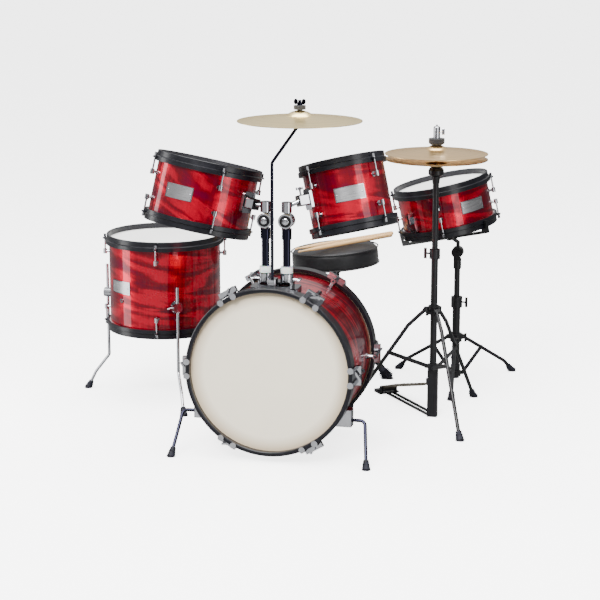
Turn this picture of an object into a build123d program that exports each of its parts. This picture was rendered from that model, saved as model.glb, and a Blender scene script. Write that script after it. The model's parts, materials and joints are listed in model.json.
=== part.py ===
from build123d import *
import os
from math import atan2, cos, degrees, hypot, radians, sin

os.makedirs("parts", exist_ok=True)

# ---------------------------------------------------------------- layout
# The layout is drawn from the bass drum: x to the right of it as the audience sees it, y from its
# front edge towards the drummer, z up from the floor. MIDDLE is the centre of the kit's floor plan.
MIDDLE_X = -90.8
MIDDLE_Y = 503.8


def at(x, y, z=0.0):
    return Vector(x - MIDDLE_X, y - MIDDLE_Y, z)


# ---------------------------------------------------------------- driving sizes, mm
FIT = 0.3  # air between pieces of different bodies
PIN_FIT = 0.1  # air round a hinge pin
REST = 0.2  # air under a piece that lies on another

BASS_RADIUS, BASS_LENGTH, BASS_WALL = 203.0, 305.0, 6.0
BASS_MIDDLE_Y, BASS_MIDDLE_Z, BASS_LIFT = 170.0, 227.3, 1.6  # lift: front end up, degrees
BASS_HOOP_THICK, BASS_HOOP_OVERHANG, BASS_HOOP_LAP = 11.0, 17.0, 21.0
CLAW_COUNT = 6

LEFT_TOM_RADIUS, LEFT_TOM_LENGTH = 129.5, 145.0
RIGHT_TOM_RADIUS, RIGHT_TOM_LENGTH = 104.0, 153.0
FLOOR_TOM_RADIUS, FLOOR_TOM_LENGTH, FLOOR_TOM_TOP = 157.0, 241.0, 472.5
SNARE_RADIUS, SNARE_LENGTH = 131.5, 114.0
SHELL_WALL = 5.0
LUG_COUNT = 4
LUG_INSET = 40.0  # from the shell's edge to the lug
ROD_OUT = 14.0  # from the shell's surface to the tension rods
ROD_RADIUS = 2.3
HOOP_RISE, HOOP_DROP = 16.5, 10.0
HOOP_WALL_OUT, HOOP_BAND_OUT = 6.5, 10.0
BADGE_WIDTH, BADGE_HEIGHT = 77.0, 36.0

POST_SPREAD, POST_Y = 27.5, 95.0
POST_RADIUS, POST_BORE = 10.0, 8.0
RATCHET_Z, RATCHET_RADIUS, RATCHET_HALF = 605.0, 19.0, 14.0
NECK_RADIUS, NECK_TOP = 13.0, 652.0
ARM_RADIUS = 6.0

CRASH_RADIUS, CRASH_EDGE_Z, CRASH_X, CRASH_Y = 155.0, 858.0, 65.0, 77.0
CRASH_ROD_RADIUS, CRASH_ROD_X, CRASH_ROD_Y, CRASH_BEND_Z = 4.0, -2.0, 61.0, 755.0
HAT_RADIUS, HAT_EDGE_Z, HAT_GAP = 138.0, 728.0, 13.5
HAT_X, HAT_Y = 341.0, 510.0
HAT_HEEL_X, HAT_HEEL_Y = 165.0, 742.0
SNARE_STAND_X, SNARE_STAND_Y = 350.0, 899.0
THRONE_X, THRONE_Y = -15.0, 910.0
SEAT_RADIUS, SEAT_THICK, SEAT_CROWN, SEAT_BASE_Z, SEAT_LEAN = 131.0, 59.0, 12.0, 331.0, 4.5
STICK_LENGTH, STICK_RADIUS = 330.0, 6.5


# ---------------------------------------------------------------- shared shapes
def drum_plane(x, y, z, lean_right, lean_back):
    """A drum's own plane: origin at its middle, +Z up its axis, x nearly along the kit's x."""
    up = Vector(sin(radians(lean_right)), sin(radians(lean_back)), 1).normalized()
    side = (Vector(1, 0, 0) - up * up.X).normalized()
    return Plane(at(x, y, z), x_dir=side, z_dir=up)


def upright(x, y, z=0.0):
    return Plane(at(x, y, z), x_dir=(1, 0, 0), z_dir=(0, 0, 1))


def outward(base, angle):
    return base.x_dir * cos(radians(angle)) + base.y_dir * sin(radians(angle))


def radial_plane(base, angle=0.0, sideways=0.0):
    """The plane through a base's axis in which x runs outwards and y runs up the axis."""
    out = outward(base, angle)
    normal = out.cross(base.z_dir)
    return Plane(base.origin + normal * sideways, x_dir=out, z_dir=normal)


def side_plane(base, radius, angle, height):
    """A plane that lies on a drum's side: x up the drum, z straight out of the shell."""
    out = outward(base, angle)
    return Plane(base.origin + out * radius + base.z_dir * height, x_dir=base.z_dir, z_dir=out)


def turned(base, *outline):
    """A turned piece from its half outline of (radius, height) points."""
    with BuildPart() as body:
        with BuildSketch(radial_plane(base)):
            with BuildLine():
                Polyline(*outline, close=True)
            make_face()
        revolve(axis=Axis(base.origin, base.z_dir))
    return body.part


def tube(base, low, high, radius, bore=0.0):
    with BuildPart() as body:
        with BuildSketch(base.offset(low)):
            Circle(radius)
            if bore:
                Circle(bore, mode=Mode.SUBTRACT)
        extrude(amount=high - low)
    return body.part


def bent_rod(plane, points, bend, radius, bore=0.0):
    """A round rod along a path of rounded corners, drawn in one plane."""
    with BuildPart() as body:
        with BuildLine(plane) as path:
            if len(points) > 2:
                FilletPolyline(*points, radius=bend)
            else:
                Line(*points)
        with BuildSketch(Plane(origin=path.line @ 0, z_dir=path.line % 0)):
            Circle(radius)
            if bore:
                Circle(bore, mode=Mode.SUBTRACT)
        sweep(path=path.wire())
    return body.part


def wing_screw(base, length=16.0, span=22.0, radius=2.6):
    """A screw that stands on a plane, with a flat wing across its head."""
    with BuildPart() as body:
        with BuildSketch(base):
            Circle(radius)
        extrude(amount=length)
        with BuildSketch(base.offset(length - 4)):
            SlotOverall(span, 5)
        extrude(amount=7)
    return body.part


def rubber_foot(plane, foot, towards, tip_radius=11.0, top_radius=8.0, length=26.0):
    """A rubber foot in a radial plane, flat on the floor and leaning up the leg, and the leg's end."""
    along = Vector(towards[0] - foot[0], towards[1] - foot[1]).normalized()
    top = (foot[0] + along.X * length, foot[1] + along.Y * length)
    rod_end = (top[0] + along.X * REST, top[1] + along.Y * REST)
    floor = plane.from_local_coords(Vector(foot[0], foot[1], 0))
    top_centre = plane.from_local_coords(Vector(top[0], top[1], 0))
    up = (top_centre - floor).normalized()
    with BuildPart() as body:
        with BuildSketch(Plane(floor, x_dir=plane.x_dir, z_dir=(0, 0, 1))):
            Circle(tip_radius)
        with BuildSketch(Plane(top_centre, x_dir=plane.z_dir, z_dir=up)):
            Circle(top_radius)
        loft()
    return body.part, rod_end


# ---------------------------------------------------------------- drums
def shell(drum, radius, wall, length):
    with BuildPart() as body:
        with BuildSketch(drum.offset(-length / 2)):
            Circle(radius)
            Circle(radius - wall, mode=Mode.SUBTRACT)
        extrude(amount=length)
    return body.part


def heads(drum, radius, length, lap=8.0, ring=3.0, film=0.8):
    """Both skins, each with the ring that holds it round the shell."""
    edge = length / 2
    profile = [(0, edge + PIN_FIT), (radius + FIT, edge + PIN_FIT), (radius + FIT, edge - lap)]
    profile += [(radius + ring, edge - lap), (radius + ring, edge), (radius + ring - film, edge + film)]
    profile += [(0, edge + film)]
    with BuildPart() as body:
        add(turned(drum, *profile))
        mirror(about=drum)
    return body.part


def tom_hoops(drum, radius, length, lug_angle):
    """Both flanged hoops: a wall above the skin, a wider band over its ring, an ear at each rod."""
    edge, ring = length / 2, radius + 3.0 + FIT
    inner, wall, band = radius + 1.5, radius + HOOP_WALL_OUT, radius + HOOP_BAND_OUT
    rest = edge + 0.8 + PIN_FIT
    profile = [(inner, rest), (inner, edge + HOOP_RISE - 1), (inner + 1, edge + HOOP_RISE)]
    profile += [(wall - 1, edge + HOOP_RISE), (wall, edge + HOOP_RISE - 1), (wall, edge + 3)]
    profile += [(band, edge + 1), (band, edge - HOOP_DROP), (ring, edge - HOOP_DROP), (ring, rest)]
    ear, ear_thick = 6.5, 4.0
    with BuildPart() as body:
        add(turned(drum, *profile))
        with BuildSketch(drum.offset(edge - ear_thick)):
            with PolarLocations(radius + ROD_OUT, LUG_COUNT, start_angle=lug_angle):
                Circle(ear)
            with PolarLocations(band, LUG_COUNT, start_angle=lug_angle):
                Rectangle(ROD_OUT - 4, 2 * ear)
            Circle(band - 1, mode=Mode.SUBTRACT)
        extrude(amount=ear_thick)
        with BuildSketch(drum.offset(edge - 2 * ear_thick)):
            with PolarLocations(radius + ROD_OUT, LUG_COUNT, start_angle=lug_angle):
                Circle(ROD_RADIUS + FIT)
        extrude(amount=3 * ear_thick, mode=Mode.SUBTRACT)
        mirror(about=drum)
    return body.part


def lug_pair(length):
    """One station's two lugs and two tension rods: x up the drum, z out of the shell."""
    barrel_half, depth = 6.5, 6.0
    lug_x = length / 2 - LUG_INSET
    with BuildPart() as body:
        with BuildSketch(Plane.XY.offset(REST)):
            with Locations((lug_x, 0)):
                Circle(6.5)
        extrude(amount=1.6)
        with BuildSketch(Plane.XY.offset(REST)):
            with Locations((lug_x, 0)):
                Circle(3.4)
        extrude(amount=ROD_OUT - 3)
        with BuildSketch(Plane.YZ.offset(lug_x - barrel_half)):
            with Locations((0, ROD_OUT)):
                Circle(5.4)
        extrude(amount=2 * barrel_half)
        with BuildSketch(Plane.YZ.offset(lug_x + barrel_half - depth)):
            with Locations((0, ROD_OUT)):
                Circle(ROD_RADIUS + FIT)
        extrude(amount=depth, mode=Mode.SUBTRACT)
        rod_start = lug_x + barrel_half - depth + FIT
        with BuildSketch(Plane.YZ.offset(rod_start)):
            with Locations((0, ROD_OUT)):
                Circle(ROD_RADIUS)
        extrude(amount=length / 2 + 1 - rod_start)
        with BuildSketch(Plane.YZ.offset(length / 2 + PIN_FIT)):
            with Locations((0, ROD_OUT)):
                Circle(3.7)
        extrude(amount=1.6)
        with BuildSketch(Plane.YZ.offset(length / 2 + PIN_FIT)):
            with Locations((0, ROD_OUT)):
                RegularPolygon(3.6, 4)
        extrude(amount=10)
        mirror(about=Plane.YZ)
    return body.part


def badge(drum, radius, angle, height=0.0):
    """A blank curved plate on the shell."""
    arc = degrees(BADGE_WIDTH / radius)
    with BuildPart() as body:
        with BuildSketch(radial_plane(drum, angle - arc / 2)):
            with Locations((radius + REST + 0.6, height)):
                Rectangle(1.2, BADGE_HEIGHT)
        revolve(axis=Axis(drum.origin, drum.z_dir), revolution_arc=arc)
    return body.part


def vent(drum, radius, angle, height):
    return tube(side_plane(drum, radius + REST, angle, height), 0, 1.6, 6.5, 3.0)


def tom_hardware(drum, radius, length, lug_angle, badge_angle):
    """The lugs, rods and badge that every smaller drum has."""
    stations = [side_plane(drum, radius, lug_angle + i * 360 / LUG_COUNT, 0) for i in range(LUG_COUNT)]
    with BuildPart() as body:
        pair = lug_pair(length)
        with Locations(*stations):
            add(pair)
        add(badge(drum, radius, badge_angle))
    return body.part


def tom_arm(drum, radius, post_x, angle):
    """The holder of a hung tom: block on the shell, arm, and the upper half of the ratchet."""
    seat = side_plane(drum, radius, angle, 8.0)
    block_deep, block_half = 30.0, 14.0
    hub = Plane(at(post_x, POST_Y, RATCHET_Z), x_dir=(1, 0, 0), z_dir=(0, 1, 0))
    start = at(post_x, POST_Y + RATCHET_HALF / 2, NECK_TOP - 12)
    end = seat.origin + seat.z_dir * (block_deep - 4)
    with BuildPart() as body:
        with BuildSketch(seat.offset(-4)):
            RectangleRounded(54, 46, 8)
        extrude(amount=9)
        with BuildSketch(seat):
            RectangleRounded(2 * block_half, 36, 4)
        extrude(amount=block_deep)
        add(tube(drum, -length_of_cut(radius), length_of_cut(radius), radius + REST), mode=Mode.SUBTRACT)
        with BuildSketch(Plane(start, z_dir=end - start)):
            Circle(ARM_RADIUS)
        extrude(amount=(end - start).length)
        add(wing_screw(Plane(seat.origin + seat.z_dir * 20 + seat.x_dir * (block_half - 1),
                             x_dir=seat.z_dir, z_dir=seat.x_dir), 18, 20))
        with BuildSketch(upright(post_x, POST_Y + RATCHET_HALF / 2, RATCHET_Z)):
            Circle(NECK_RADIUS / 2 + 0.5)
        extrude(amount=NECK_TOP - RATCHET_Z)
        with BuildSketch(upright(post_x, POST_Y, RATCHET_Z + RATCHET_RADIUS + 2)):
            Circle(NECK_RADIUS)
        extrude(amount=NECK_TOP - RATCHET_Z - RATCHET_RADIUS - 2)
        with BuildSketch(hub.offset(FIT / 2)):
            Circle(RATCHET_RADIUS)
        extrude(amount=RATCHET_HALF)
        with BuildSketch(hub):
            Circle(4 + PIN_FIT)
        extrude(amount=3 * RATCHET_HALF, mode=Mode.SUBTRACT)
    return body.part


def length_of_cut(radius):
    return 0.9 * radius


left_tom = drum_plane(-204, 148, 655, 11, 9)
right_tom = drum_plane(166, 182, 661, -14, 9)
floor_tom = upright(-442, 575, FLOOR_TOM_TOP - HOOP_RISE - FLOOR_TOM_LENGTH / 2)
snare = drum_plane(316, 864, 533, -12.6, -2)

DRUMS = {
    "left_tom": (left_tom, LEFT_TOM_RADIUS, LEFT_TOM_LENGTH, -59.0, -103.0),
    "right_tom": (right_tom, RIGHT_TOM_RADIUS, RIGHT_TOM_LENGTH, -125.5, -76.0),
    "floor_tom": (floor_tom, FLOOR_TOM_RADIUS, FLOOR_TOM_LENGTH, -81.5, -125.5),
    "snare": (snare, SNARE_RADIUS, SNARE_LENGTH, -88.0, -44.0),
}
pieces = {}
for name, (drum, radius, length, lug_angle, badge_angle) in DRUMS.items():
    pieces[name + "_shell"] = shell(drum, radius, SHELL_WALL, length)
    pieces[name + "_heads"] = heads(drum, radius, length)
    pieces[name + "_hoops"] = tom_hoops(drum, radius, length, lug_angle)

# ---------------------------------------------------------------- hung toms
for side, post_x, angle in (("left_tom", -POST_SPREAD, -16.7), ("right_tom", POST_SPREAD, 212.0)):
    drum, radius, length, lug_angle, badge_angle = DRUMS[side]
    with BuildPart() as hardware:
        add(tom_hardware(drum, radius, length, lug_angle, badge_angle))
        add(tom_arm(drum, radius, post_x, angle))
    pieces[side + "_hardware"] = hardware.part
    hub = Plane(at(post_x, POST_Y, RATCHET_Z), x_dir=(1, 0, 0), z_dir=(0, -1, 0))
    with BuildPart() as post:
        with BuildSketch(upright(post_x, POST_Y, 450)):
            Circle(POST_RADIUS)
            Circle(POST_BORE, mode=Mode.SUBTRACT)
        extrude(amount=112)
        with BuildSketch(upright(post_x, POST_Y, 471)):
            Circle(15)
            Circle(POST_RADIUS - 1, mode=Mode.SUBTRACT)
        extrude(amount=17)
        with BuildSketch(upright(post_x, POST_Y, 558)):
            Circle(12.6)
        extrude(amount=RATCHET_Z - RATCHET_RADIUS - 1 - 558)
        with BuildSketch(hub.offset(FIT / 2)):
            Circle(RATCHET_RADIUS)
        extrude(amount=RATCHET_HALF)
        with BuildSketch(upright(post_x, POST_Y - RATCHET_HALF / 2 - FIT, RATCHET_Z - RATCHET_RADIUS - 3)):
            Rectangle(20, RATCHET_HALF - 1)
        extrude(amount=12)
        with BuildSketch(hub.offset(-RATCHET_HALF - 3)):
            Circle(4)
        extrude(amount=2 * RATCHET_HALF + 6)
        with BuildSketch(hub.offset(RATCHET_HALF)):
            Circle(8)
        extrude(amount=4)
    pieces[side + "_post"] = post.part

# ---------------------------------------------------------------- floor tom
LEG_RADIUS, LEG_OUT = 4.2, 18.0
leg_stations = ((178.0, 372.0), (-62.0, 348.0), (58.0, 372.0))
leg_reach = FLOOR_TOM_RADIUS + LEG_OUT
drum, radius, length, lug_angle, badge_angle = DRUMS["floor_tom"]
with BuildPart() as hardware:
    add(tom_hardware(drum, radius, length, lug_angle, badge_angle))
    add(vent(drum, radius, badge_angle + 2, -38))
    for angle, top in leg_stations:
        seat = side_plane(drum, radius + REST, angle, 290 - drum.origin.Z)
        with BuildSketch(seat):
            Circle(17)
        extrude(amount=3)
        with BuildSketch(seat):
            Circle(13)
        extrude(amount=LEG_OUT + 9)
        with BuildSketch(drum.offset(-length)):
            with PolarLocations(leg_reach, 1, start_angle=angle):
                Circle(LEG_RADIUS + FIT)
        extrude(amount=2 * length, mode=Mode.SUBTRACT)
        side = seat.y_dir
        add(wing_screw(Plane(seat.origin + seat.z_dir * LEG_OUT + side * 12, x_dir=seat.z_dir, z_dir=side)))
pieces["floor_tom_hardware"] = hardware.part
for number, (angle, top) in enumerate(leg_stations, 1):
    plane = radial_plane(upright(-442, 575), angle)
    kink, foot = leg_reach + 42, (leg_reach + 68, 0.0)
    boot, boot_top = rubber_foot(plane, foot, (kink, 52), 10.5, 7.0, 24)
    with BuildPart() as leg:
        path = [(leg_reach, top), (leg_reach, 105), (kink, 52), boot_top]
        add(bent_rod(plane, path, 12, LEG_RADIUS))
        add(boot)
    pieces[f"floor_tom_leg_{number}"] = leg.part

# ---------------------------------------------------------------- bass drum
tilt = radians(BASS_LIFT)
bass = Plane(at(0, BASS_MIDDLE_Y, BASS_MIDDLE_Z), x_dir=(1, 0, 0), z_dir=(0, -cos(tilt), sin(tilt)))
bass_rear = Plane(bass.origin, x_dir=(1, 0, 0), z_dir=-bass.z_dir)
bass_edge = BASS_LENGTH / 2
hoop_inner = BASS_RADIUS + 1.5
hoop_outer = hoop_inner + BASS_HOOP_THICK
pieces["bass_shell"] = shell(bass, BASS_RADIUS, BASS_WALL, BASS_LENGTH)
pieces["bass_heads"] = heads(bass, BASS_RADIUS, BASS_LENGTH, 9, 3.6, 0.9)
with BuildPart() as bass_hoops:
    lip, rest = BASS_RADIUS + 3.6 + FIT, bass_edge + 0.9 + PIN_FIT
    front = bass_edge + BASS_HOOP_OVERHANG
    profile = [(hoop_inner, rest), (hoop_inner, front - 2), (hoop_inner + 2, front)]
    profile += [(hoop_outer - 2, front), (hoop_outer, front - 2), (hoop_outer, bass_edge - BASS_HOOP_LAP)]
    profile += [(lip, bass_edge - BASS_HOOP_LAP), (lip, rest)]
    add(turned(bass, *profile))
    mirror(about=bass)
pieces["bass_hoops"] = bass_hoops.part

CLAW_WIDTH, CLAW_PAD, CLAW_STRAP = 37.0, 8.0, 3.0
T_ROD_OUT = 10.0  # from the hoop's outside to the rod
lug_height = front - 80


def bass_claw():
    """One claw, its T-headed rod and its lug: x outwards, y towards the hoop's face, z across."""
    over = hoop_outer + FIT
    bar_low, bar_high = front - 44, front - 32
    with BuildPart() as body:
        for hand in (-1, 1):
            middle = Plane.XY.offset(hand * CLAW_WIDTH / 2 - CLAW_STRAP * 2)
            with BuildSketch(middle):
                with BuildLine():
                    Polyline((over, bar_low), (over, front + FIT), (over - 7, front + FIT),
                             (over - 7, front + FIT + CLAW_STRAP),
                             (over + CLAW_STRAP, front + FIT + CLAW_STRAP),
                             (over + CLAW_STRAP, bar_low), close=True)
                make_face()
            extrude(amount=CLAW_STRAP * 4)
            with BuildSketch(Plane.ZX.offset(front + FIT)):
                with Locations((hand * CLAW_WIDTH / 2, over - 5)):
                    Circle(CLAW_PAD)
            extrude(amount=CLAW_STRAP + 1)
        with BuildSketch(Plane.YZ.offset(over)):
            with Locations(((bar_low + bar_high) / 2, 0)):
                Rectangle(bar_high - bar_low, CLAW_WIDTH + 12)
        extrude(amount=T_ROD_OUT + 6)
        with BuildSketch(Plane.ZX.offset(bar_low - 1)):
            with Locations((0, hoop_outer + T_ROD_OUT)):
                Circle(3 + FIT)
        extrude(amount=bar_high - bar_low + 2, mode=Mode.SUBTRACT)
        # the rod runs from its T head, above the bar, into the lug
        with BuildSketch(Plane.ZX.offset(lug_height + 4)):
            with Locations((0, hoop_outer + T_ROD_OUT)):
                Circle(3)
        extrude(amount=bar_high - lug_height + 4)
        with BuildSketch(Plane.ZX.offset(bar_high + PIN_FIT)):
            with Locations((0, hoop_outer + T_ROD_OUT)):
                Circle(5)
        extrude(amount=6)
        with BuildSketch(Plane.ZX.offset(bar_high + 6)):
            with Locations((0, hoop_outer + T_ROD_OUT)):
                SlotOverall(28, 5, rotation=35)
        extrude(amount=5)
        with BuildSketch(Plane.YZ.offset(BASS_RADIUS + REST)):
            with Locations((lug_height, 0)):
                Circle(8)
        extrude(amount=2)
        with BuildSketch(Plane.YZ.offset(BASS_RADIUS + REST)):
            with Locations((lug_height, 0)):
                Circle(4.5)
        extrude(amount=T_ROD_OUT + hoop_outer - BASS_RADIUS - 5)
        with BuildSketch(Plane.ZX.offset(lug_height - 7)):
            with Locations((0, hoop_outer + T_ROD_OUT)):
                Circle(6.5)
                Circle(3 + FIT, mode=Mode.SUBTRACT)
        extrude(amount=14)
    return body.part


SPUR_Y, SPUR_Z, SPUR_ELBOW, SPUR_RADIUS = 58.0, 108.0, 238.0, 4.5
SPUR_BLOCK_IN, SPUR_BLOCK_OUT = 160.0, 206.0
with BuildPart() as bass_hardware:
    claw = bass_claw()
    claw_angles = [number * 360 / CLAW_COUNT for number in range(CLAW_COUNT)]
    stations = [radial_plane(base, angle) for base in (bass, bass_rear) for angle in claw_angles]
    with Locations(*stations):
        add(claw)
    for hand in (-1, 1):
        block = Plane(at(hand * (SPUR_BLOCK_IN + SPUR_BLOCK_OUT) / 2, SPUR_Y, SPUR_Z))
        with BuildSketch(block.offset(-15)):
            RectangleRounded(SPUR_BLOCK_OUT - SPUR_BLOCK_IN, 34, 5)
        extrude(amount=44)
        wing_at = Plane(at(hand * 198, SPUR_Y + 16, SPUR_Z), x_dir=(0, 0, 1), z_dir=(0, 1, 0))
        add(wing_screw(wing_at, 12, 20))
    add(tube(bass, -bass_edge, bass_edge, BASS_RADIUS + REST), mode=Mode.SUBTRACT)
    spur_line = Plane(at(0, SPUR_Y, SPUR_Z), x_dir=(0, 1, 0), z_dir=(1, 0, 0))
    with BuildSketch(spur_line.offset(-SPUR_BLOCK_OUT - 1)):
        Circle(SPUR_RADIUS + FIT)
    extrude(amount=2 * SPUR_BLOCK_OUT + 2, mode=Mode.SUBTRACT)
pieces["bass_hardware"] = bass_hardware.part

for side, hand in (("left", -1), ("right", 1)):
    elbow, foot = at(hand * SPUR_ELBOW, SPUR_Y, SPUR_Z), at(hand * 254, -7, 0)
    lean = (elbow - foot).normalized()
    boot_top = foot + lean * 25
    with BuildPart() as spur:
        with BuildLine() as path:
            FilletPolyline(at(hand * 192, SPUR_Y, SPUR_Z), elbow, boot_top + lean * REST, radius=14)
        with BuildSketch(Plane(origin=path.line @ 0, z_dir=path.line % 0)):
            Circle(SPUR_RADIUS)
        sweep(path=path.wire())
    with BuildPart() as boot:
        with BuildSketch(Plane(foot, x_dir=(1, 0, 0), z_dir=(0, 0, 1))):
            Circle(10.5)
        with BuildSketch(Plane(boot_top, x_dir=(1, 0, 0), z_dir=lean)):
            Circle(7)
        loft()
    with BuildPart() as whole:
        add(spur.part)
        add(boot.part)
    pieces[side + "_spur"] = whole.part

# ---------------------------------------------------------------- tom mount and crash
shell_top = BASS_MIDDLE_Z + BASS_RADIUS + (BASS_MIDDLE_Y - POST_Y) * sin(tilt)
with BuildPart() as mount:
    with BuildSketch(upright(0, POST_Y - 4, shell_top - 12)):
        RectangleRounded(124, 62, 12)
    extrude(amount=18)
    with BuildSketch(upright(0, POST_Y, shell_top - 12)):
        RectangleRounded(92, 36, 10)
    extrude(amount=30)
    with BuildSketch(upright(CRASH_ROD_X, POST_Y - 31, shell_top - 12)):
        RectangleRounded(22, 30, 4)
    extrude(amount=42)
    with BuildSketch(upright(0, POST_Y, shell_top)):
        with Locations((-POST_SPREAD, 0), (POST_SPREAD, 0)):
            Circle(16.5)
    extrude(amount=470 - shell_top)
    for hand in (-1, 1):
        screw = Plane(at(hand * (POST_SPREAD + 15), POST_Y, 456), x_dir=(0, 1, 0), z_dir=(hand, 0, 0))
        add(wing_screw(screw, 18, 24))
    screw = Plane(at(CRASH_ROD_X, POST_Y - 45, 461), x_dir=(1, 0, 0), z_dir=(0, -1, 0))
    add(wing_screw(screw, 12, 16))
    add(tube(bass, -bass_edge, bass_edge, BASS_RADIUS + REST), mode=Mode.SUBTRACT)
    with BuildSketch(upright(0, POST_Y, 448)):
        with Locations((-POST_SPREAD, 0), (POST_SPREAD, 0)):
            Circle(POST_RADIUS + FIT)
    extrude(amount=60, mode=Mode.SUBTRACT)
    with BuildSketch(upright(CRASH_ROD_X, CRASH_ROD_Y, 441)):
        Circle(CRASH_ROD_RADIUS + FIT)
    extrude(amount=60, mode=Mode.SUBTRACT)
pieces["tom_mount"] = mount.part


CYMBAL_THICK = 1.3


def cymbal(base, radius, bell_radius, bell_rise, bow_rise, hole, thick=CYMBAL_THICK):
    """A cymbal from its edge plane: a shallow bow with a bell round the hole."""
    top, shoulder = bow_rise + bell_rise, (radius + bell_radius) / 2
    with BuildPart() as body:
        with BuildSketch(radial_plane(base)):
            with BuildLine():
                for low in (0, thick):
                    ThreePointArc((radius, low), (shoulder, bow_rise * 0.58 + low),
                                  (bell_radius, bow_rise + low))
                    ThreePointArc((bell_radius, bow_rise + low),
                                  (bell_radius * 0.62, bow_rise + bell_rise * 0.68 + low), (hole, top + low))
                Line((radius, 0), (radius, thick))
                Line((hole, top), (hole, top + thick))
            make_face()
        revolve(axis=Axis(base.origin, base.z_dir))
    return body.part


CRASH_BOW, CRASH_BELL = 13.0, 12.0
CYMBAL_HOLE = 6.5
crash_seat = upright(CRASH_X, CRASH_Y, CRASH_EDGE_Z)
crash_top = CRASH_BOW + CRASH_BELL
pieces["crash_cymbal"] = cymbal(crash_seat, CRASH_RADIUS, 34, CRASH_BELL, CRASH_BOW, CYMBAL_HOLE)
with BuildPart() as crash_rod:
    with BuildLine() as path:
        FilletPolyline(at(CRASH_ROD_X, CRASH_ROD_Y, 442), at(CRASH_ROD_X, CRASH_ROD_Y, CRASH_BEND_Z),
                       at(CRASH_X, CRASH_Y, CRASH_EDGE_Z - 6), at(CRASH_X, CRASH_Y, 910), radius=14)
    with BuildSketch(Plane(origin=path.line @ 0, z_dir=path.line % 0)):
        Circle(CRASH_ROD_RADIUS)
    sweep(path=path.wire())
    bore = CRASH_ROD_RADIUS + PIN_FIT
    add(turned(crash_seat, (bore, 8), (9, 8), (9, crash_top - 4), (5.5, crash_top - 0.6),
               (bore, crash_top - 0.6)))
    cap = crash_top + CYMBAL_THICK + 0.6
    add(turned(crash_seat, (bore, cap), (5.5, cap), (9, cap + 1.4), (15, cap + 2.4), (15, cap + 12),
               (bore, cap + 12)))
    wing = crash_seat.offset(cap + 12 + PIN_FIT)
    with BuildSketch(wing):
        Circle(7)
        Circle(bore, mode=Mode.SUBTRACT)
    extrude(amount=7)
    with BuildSketch(Plane(wing.origin, x_dir=(1, 0, 0), z_dir=(0, -1, 0)).offset(-1.5)):
        with Locations((-10, 9), (10, 9)):
            Ellipse(5, 7)
    extrude(amount=3)
pieces["crash_rod"] = crash_rod.part


# ---------------------------------------------------------------- tripods
PIVOT_PIN, PIVOT_EYE, COLLAR_WALL = 2.5, 6.5, 6.0
PIVOT_OUT = COLLAR_WALL + PIVOT_EYE + 1  # from the tube's surface to a leg's pivot
EAR_THICK, EYE_HALF = 3.0, 4.0
BRACE_THICK, BRACE_WIDE = 3.0, 11.0


def tripod_collar(post, tube_radius, height, reach, angles, screw_angle, half=12.0):
    """The sliding collar: a ring on the tube, with a forked ear and a pin for each leg."""
    base = post.offset(height)
    gap = EYE_HALF + FIT
    with BuildPart() as body:
        with BuildSketch(base.offset(-half)):
            Circle(tube_radius + COLLAR_WALL)
        extrude(amount=2 * half)
        for angle in angles:
            middle = radial_plane(base, angle)
            for low in (gap, -gap - EAR_THICK):
                with BuildSketch(middle.offset(low)):
                    Circle(7)
                    with Locations((reach, 0)):
                        Circle(7)
                    with Locations((reach / 2, 0)):
                        Rectangle(reach, 14)
                extrude(amount=EAR_THICK)
            with BuildSketch(middle.offset(-gap - EAR_THICK - 1.5)):
                with Locations((reach, 0)):
                    Circle(PIVOT_PIN)
            extrude(amount=2 * (gap + EAR_THICK + 1.5))
        add(wing_screw(Plane(base.origin + outward(base, screw_angle) * (tube_radius + 5),
                             x_dir=(0, 0, 1), z_dir=outward(base, screw_angle)), 12, 26))
        with BuildSketch(base.offset(-half - 1)):
            Circle(tube_radius + FIT)
        extrude(amount=2 * half + 2, mode=Mode.SUBTRACT)
    return body.part


def tripod_leg(post, angle, pivot, kink, foot, leg_radius=5.2):
    plane = radial_plane(post, angle)
    boot, boot_top = rubber_foot(plane, foot, kink)
    with BuildPart() as body:
        add(bent_rod(plane, [pivot, kink, boot_top], 40, leg_radius))
        with BuildSketch(plane.offset(-EYE_HALF)):
            with Locations(pivot):
                Circle(PIVOT_EYE)
        extrude(amount=2 * EYE_HALF)
        for side in (EYE_HALF, -EYE_HALF - 4):
            with BuildSketch(plane.offset(side)):
                with Locations(pivot):
                    Circle(9)
            extrude(amount=4, mode=Mode.SUBTRACT)
        with BuildSketch(plane.offset(-2 * EYE_HALF)):
            with Locations(pivot):
                Circle(PIVOT_PIN + PIN_FIT)
        extrude(amount=4 * EYE_HALF, mode=Mode.SUBTRACT)
        add(boot)
    return body.part


def brace_ears(post, tube_radius, height, reach, angles, half=8.0, leg_radius=5.2):
    """The fixed lower collar with one pinned ear for each brace."""
    base = post.offset(height)
    face = leg_radius + FIT
    with BuildPart() as body:
        with BuildSketch(base.offset(-half)):
            Circle(tube_radius + 5)
            Circle(tube_radius - 1, mode=Mode.SUBTRACT)
        extrude(amount=2 * half)
        for angle in angles:
            plane = radial_plane(base, angle)
            with BuildSketch(plane.offset(face - FIT - EAR_THICK)):
                with Locations((tube_radius / 2 + reach / 2 + 1, 0)):
                    Rectangle(reach - tube_radius + 2, 12)
                with Locations((reach, 0)):
                    Circle(6)
            extrude(amount=EAR_THICK)
            with BuildSketch(plane.offset(face - FIT - EAR_THICK / 2)):
                with Locations((reach, 0)):
                    Circle(PIVOT_PIN)
            extrude(amount=EAR_THICK / 2 + FIT + BRACE_THICK + 1.5)
    return body.part


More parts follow.
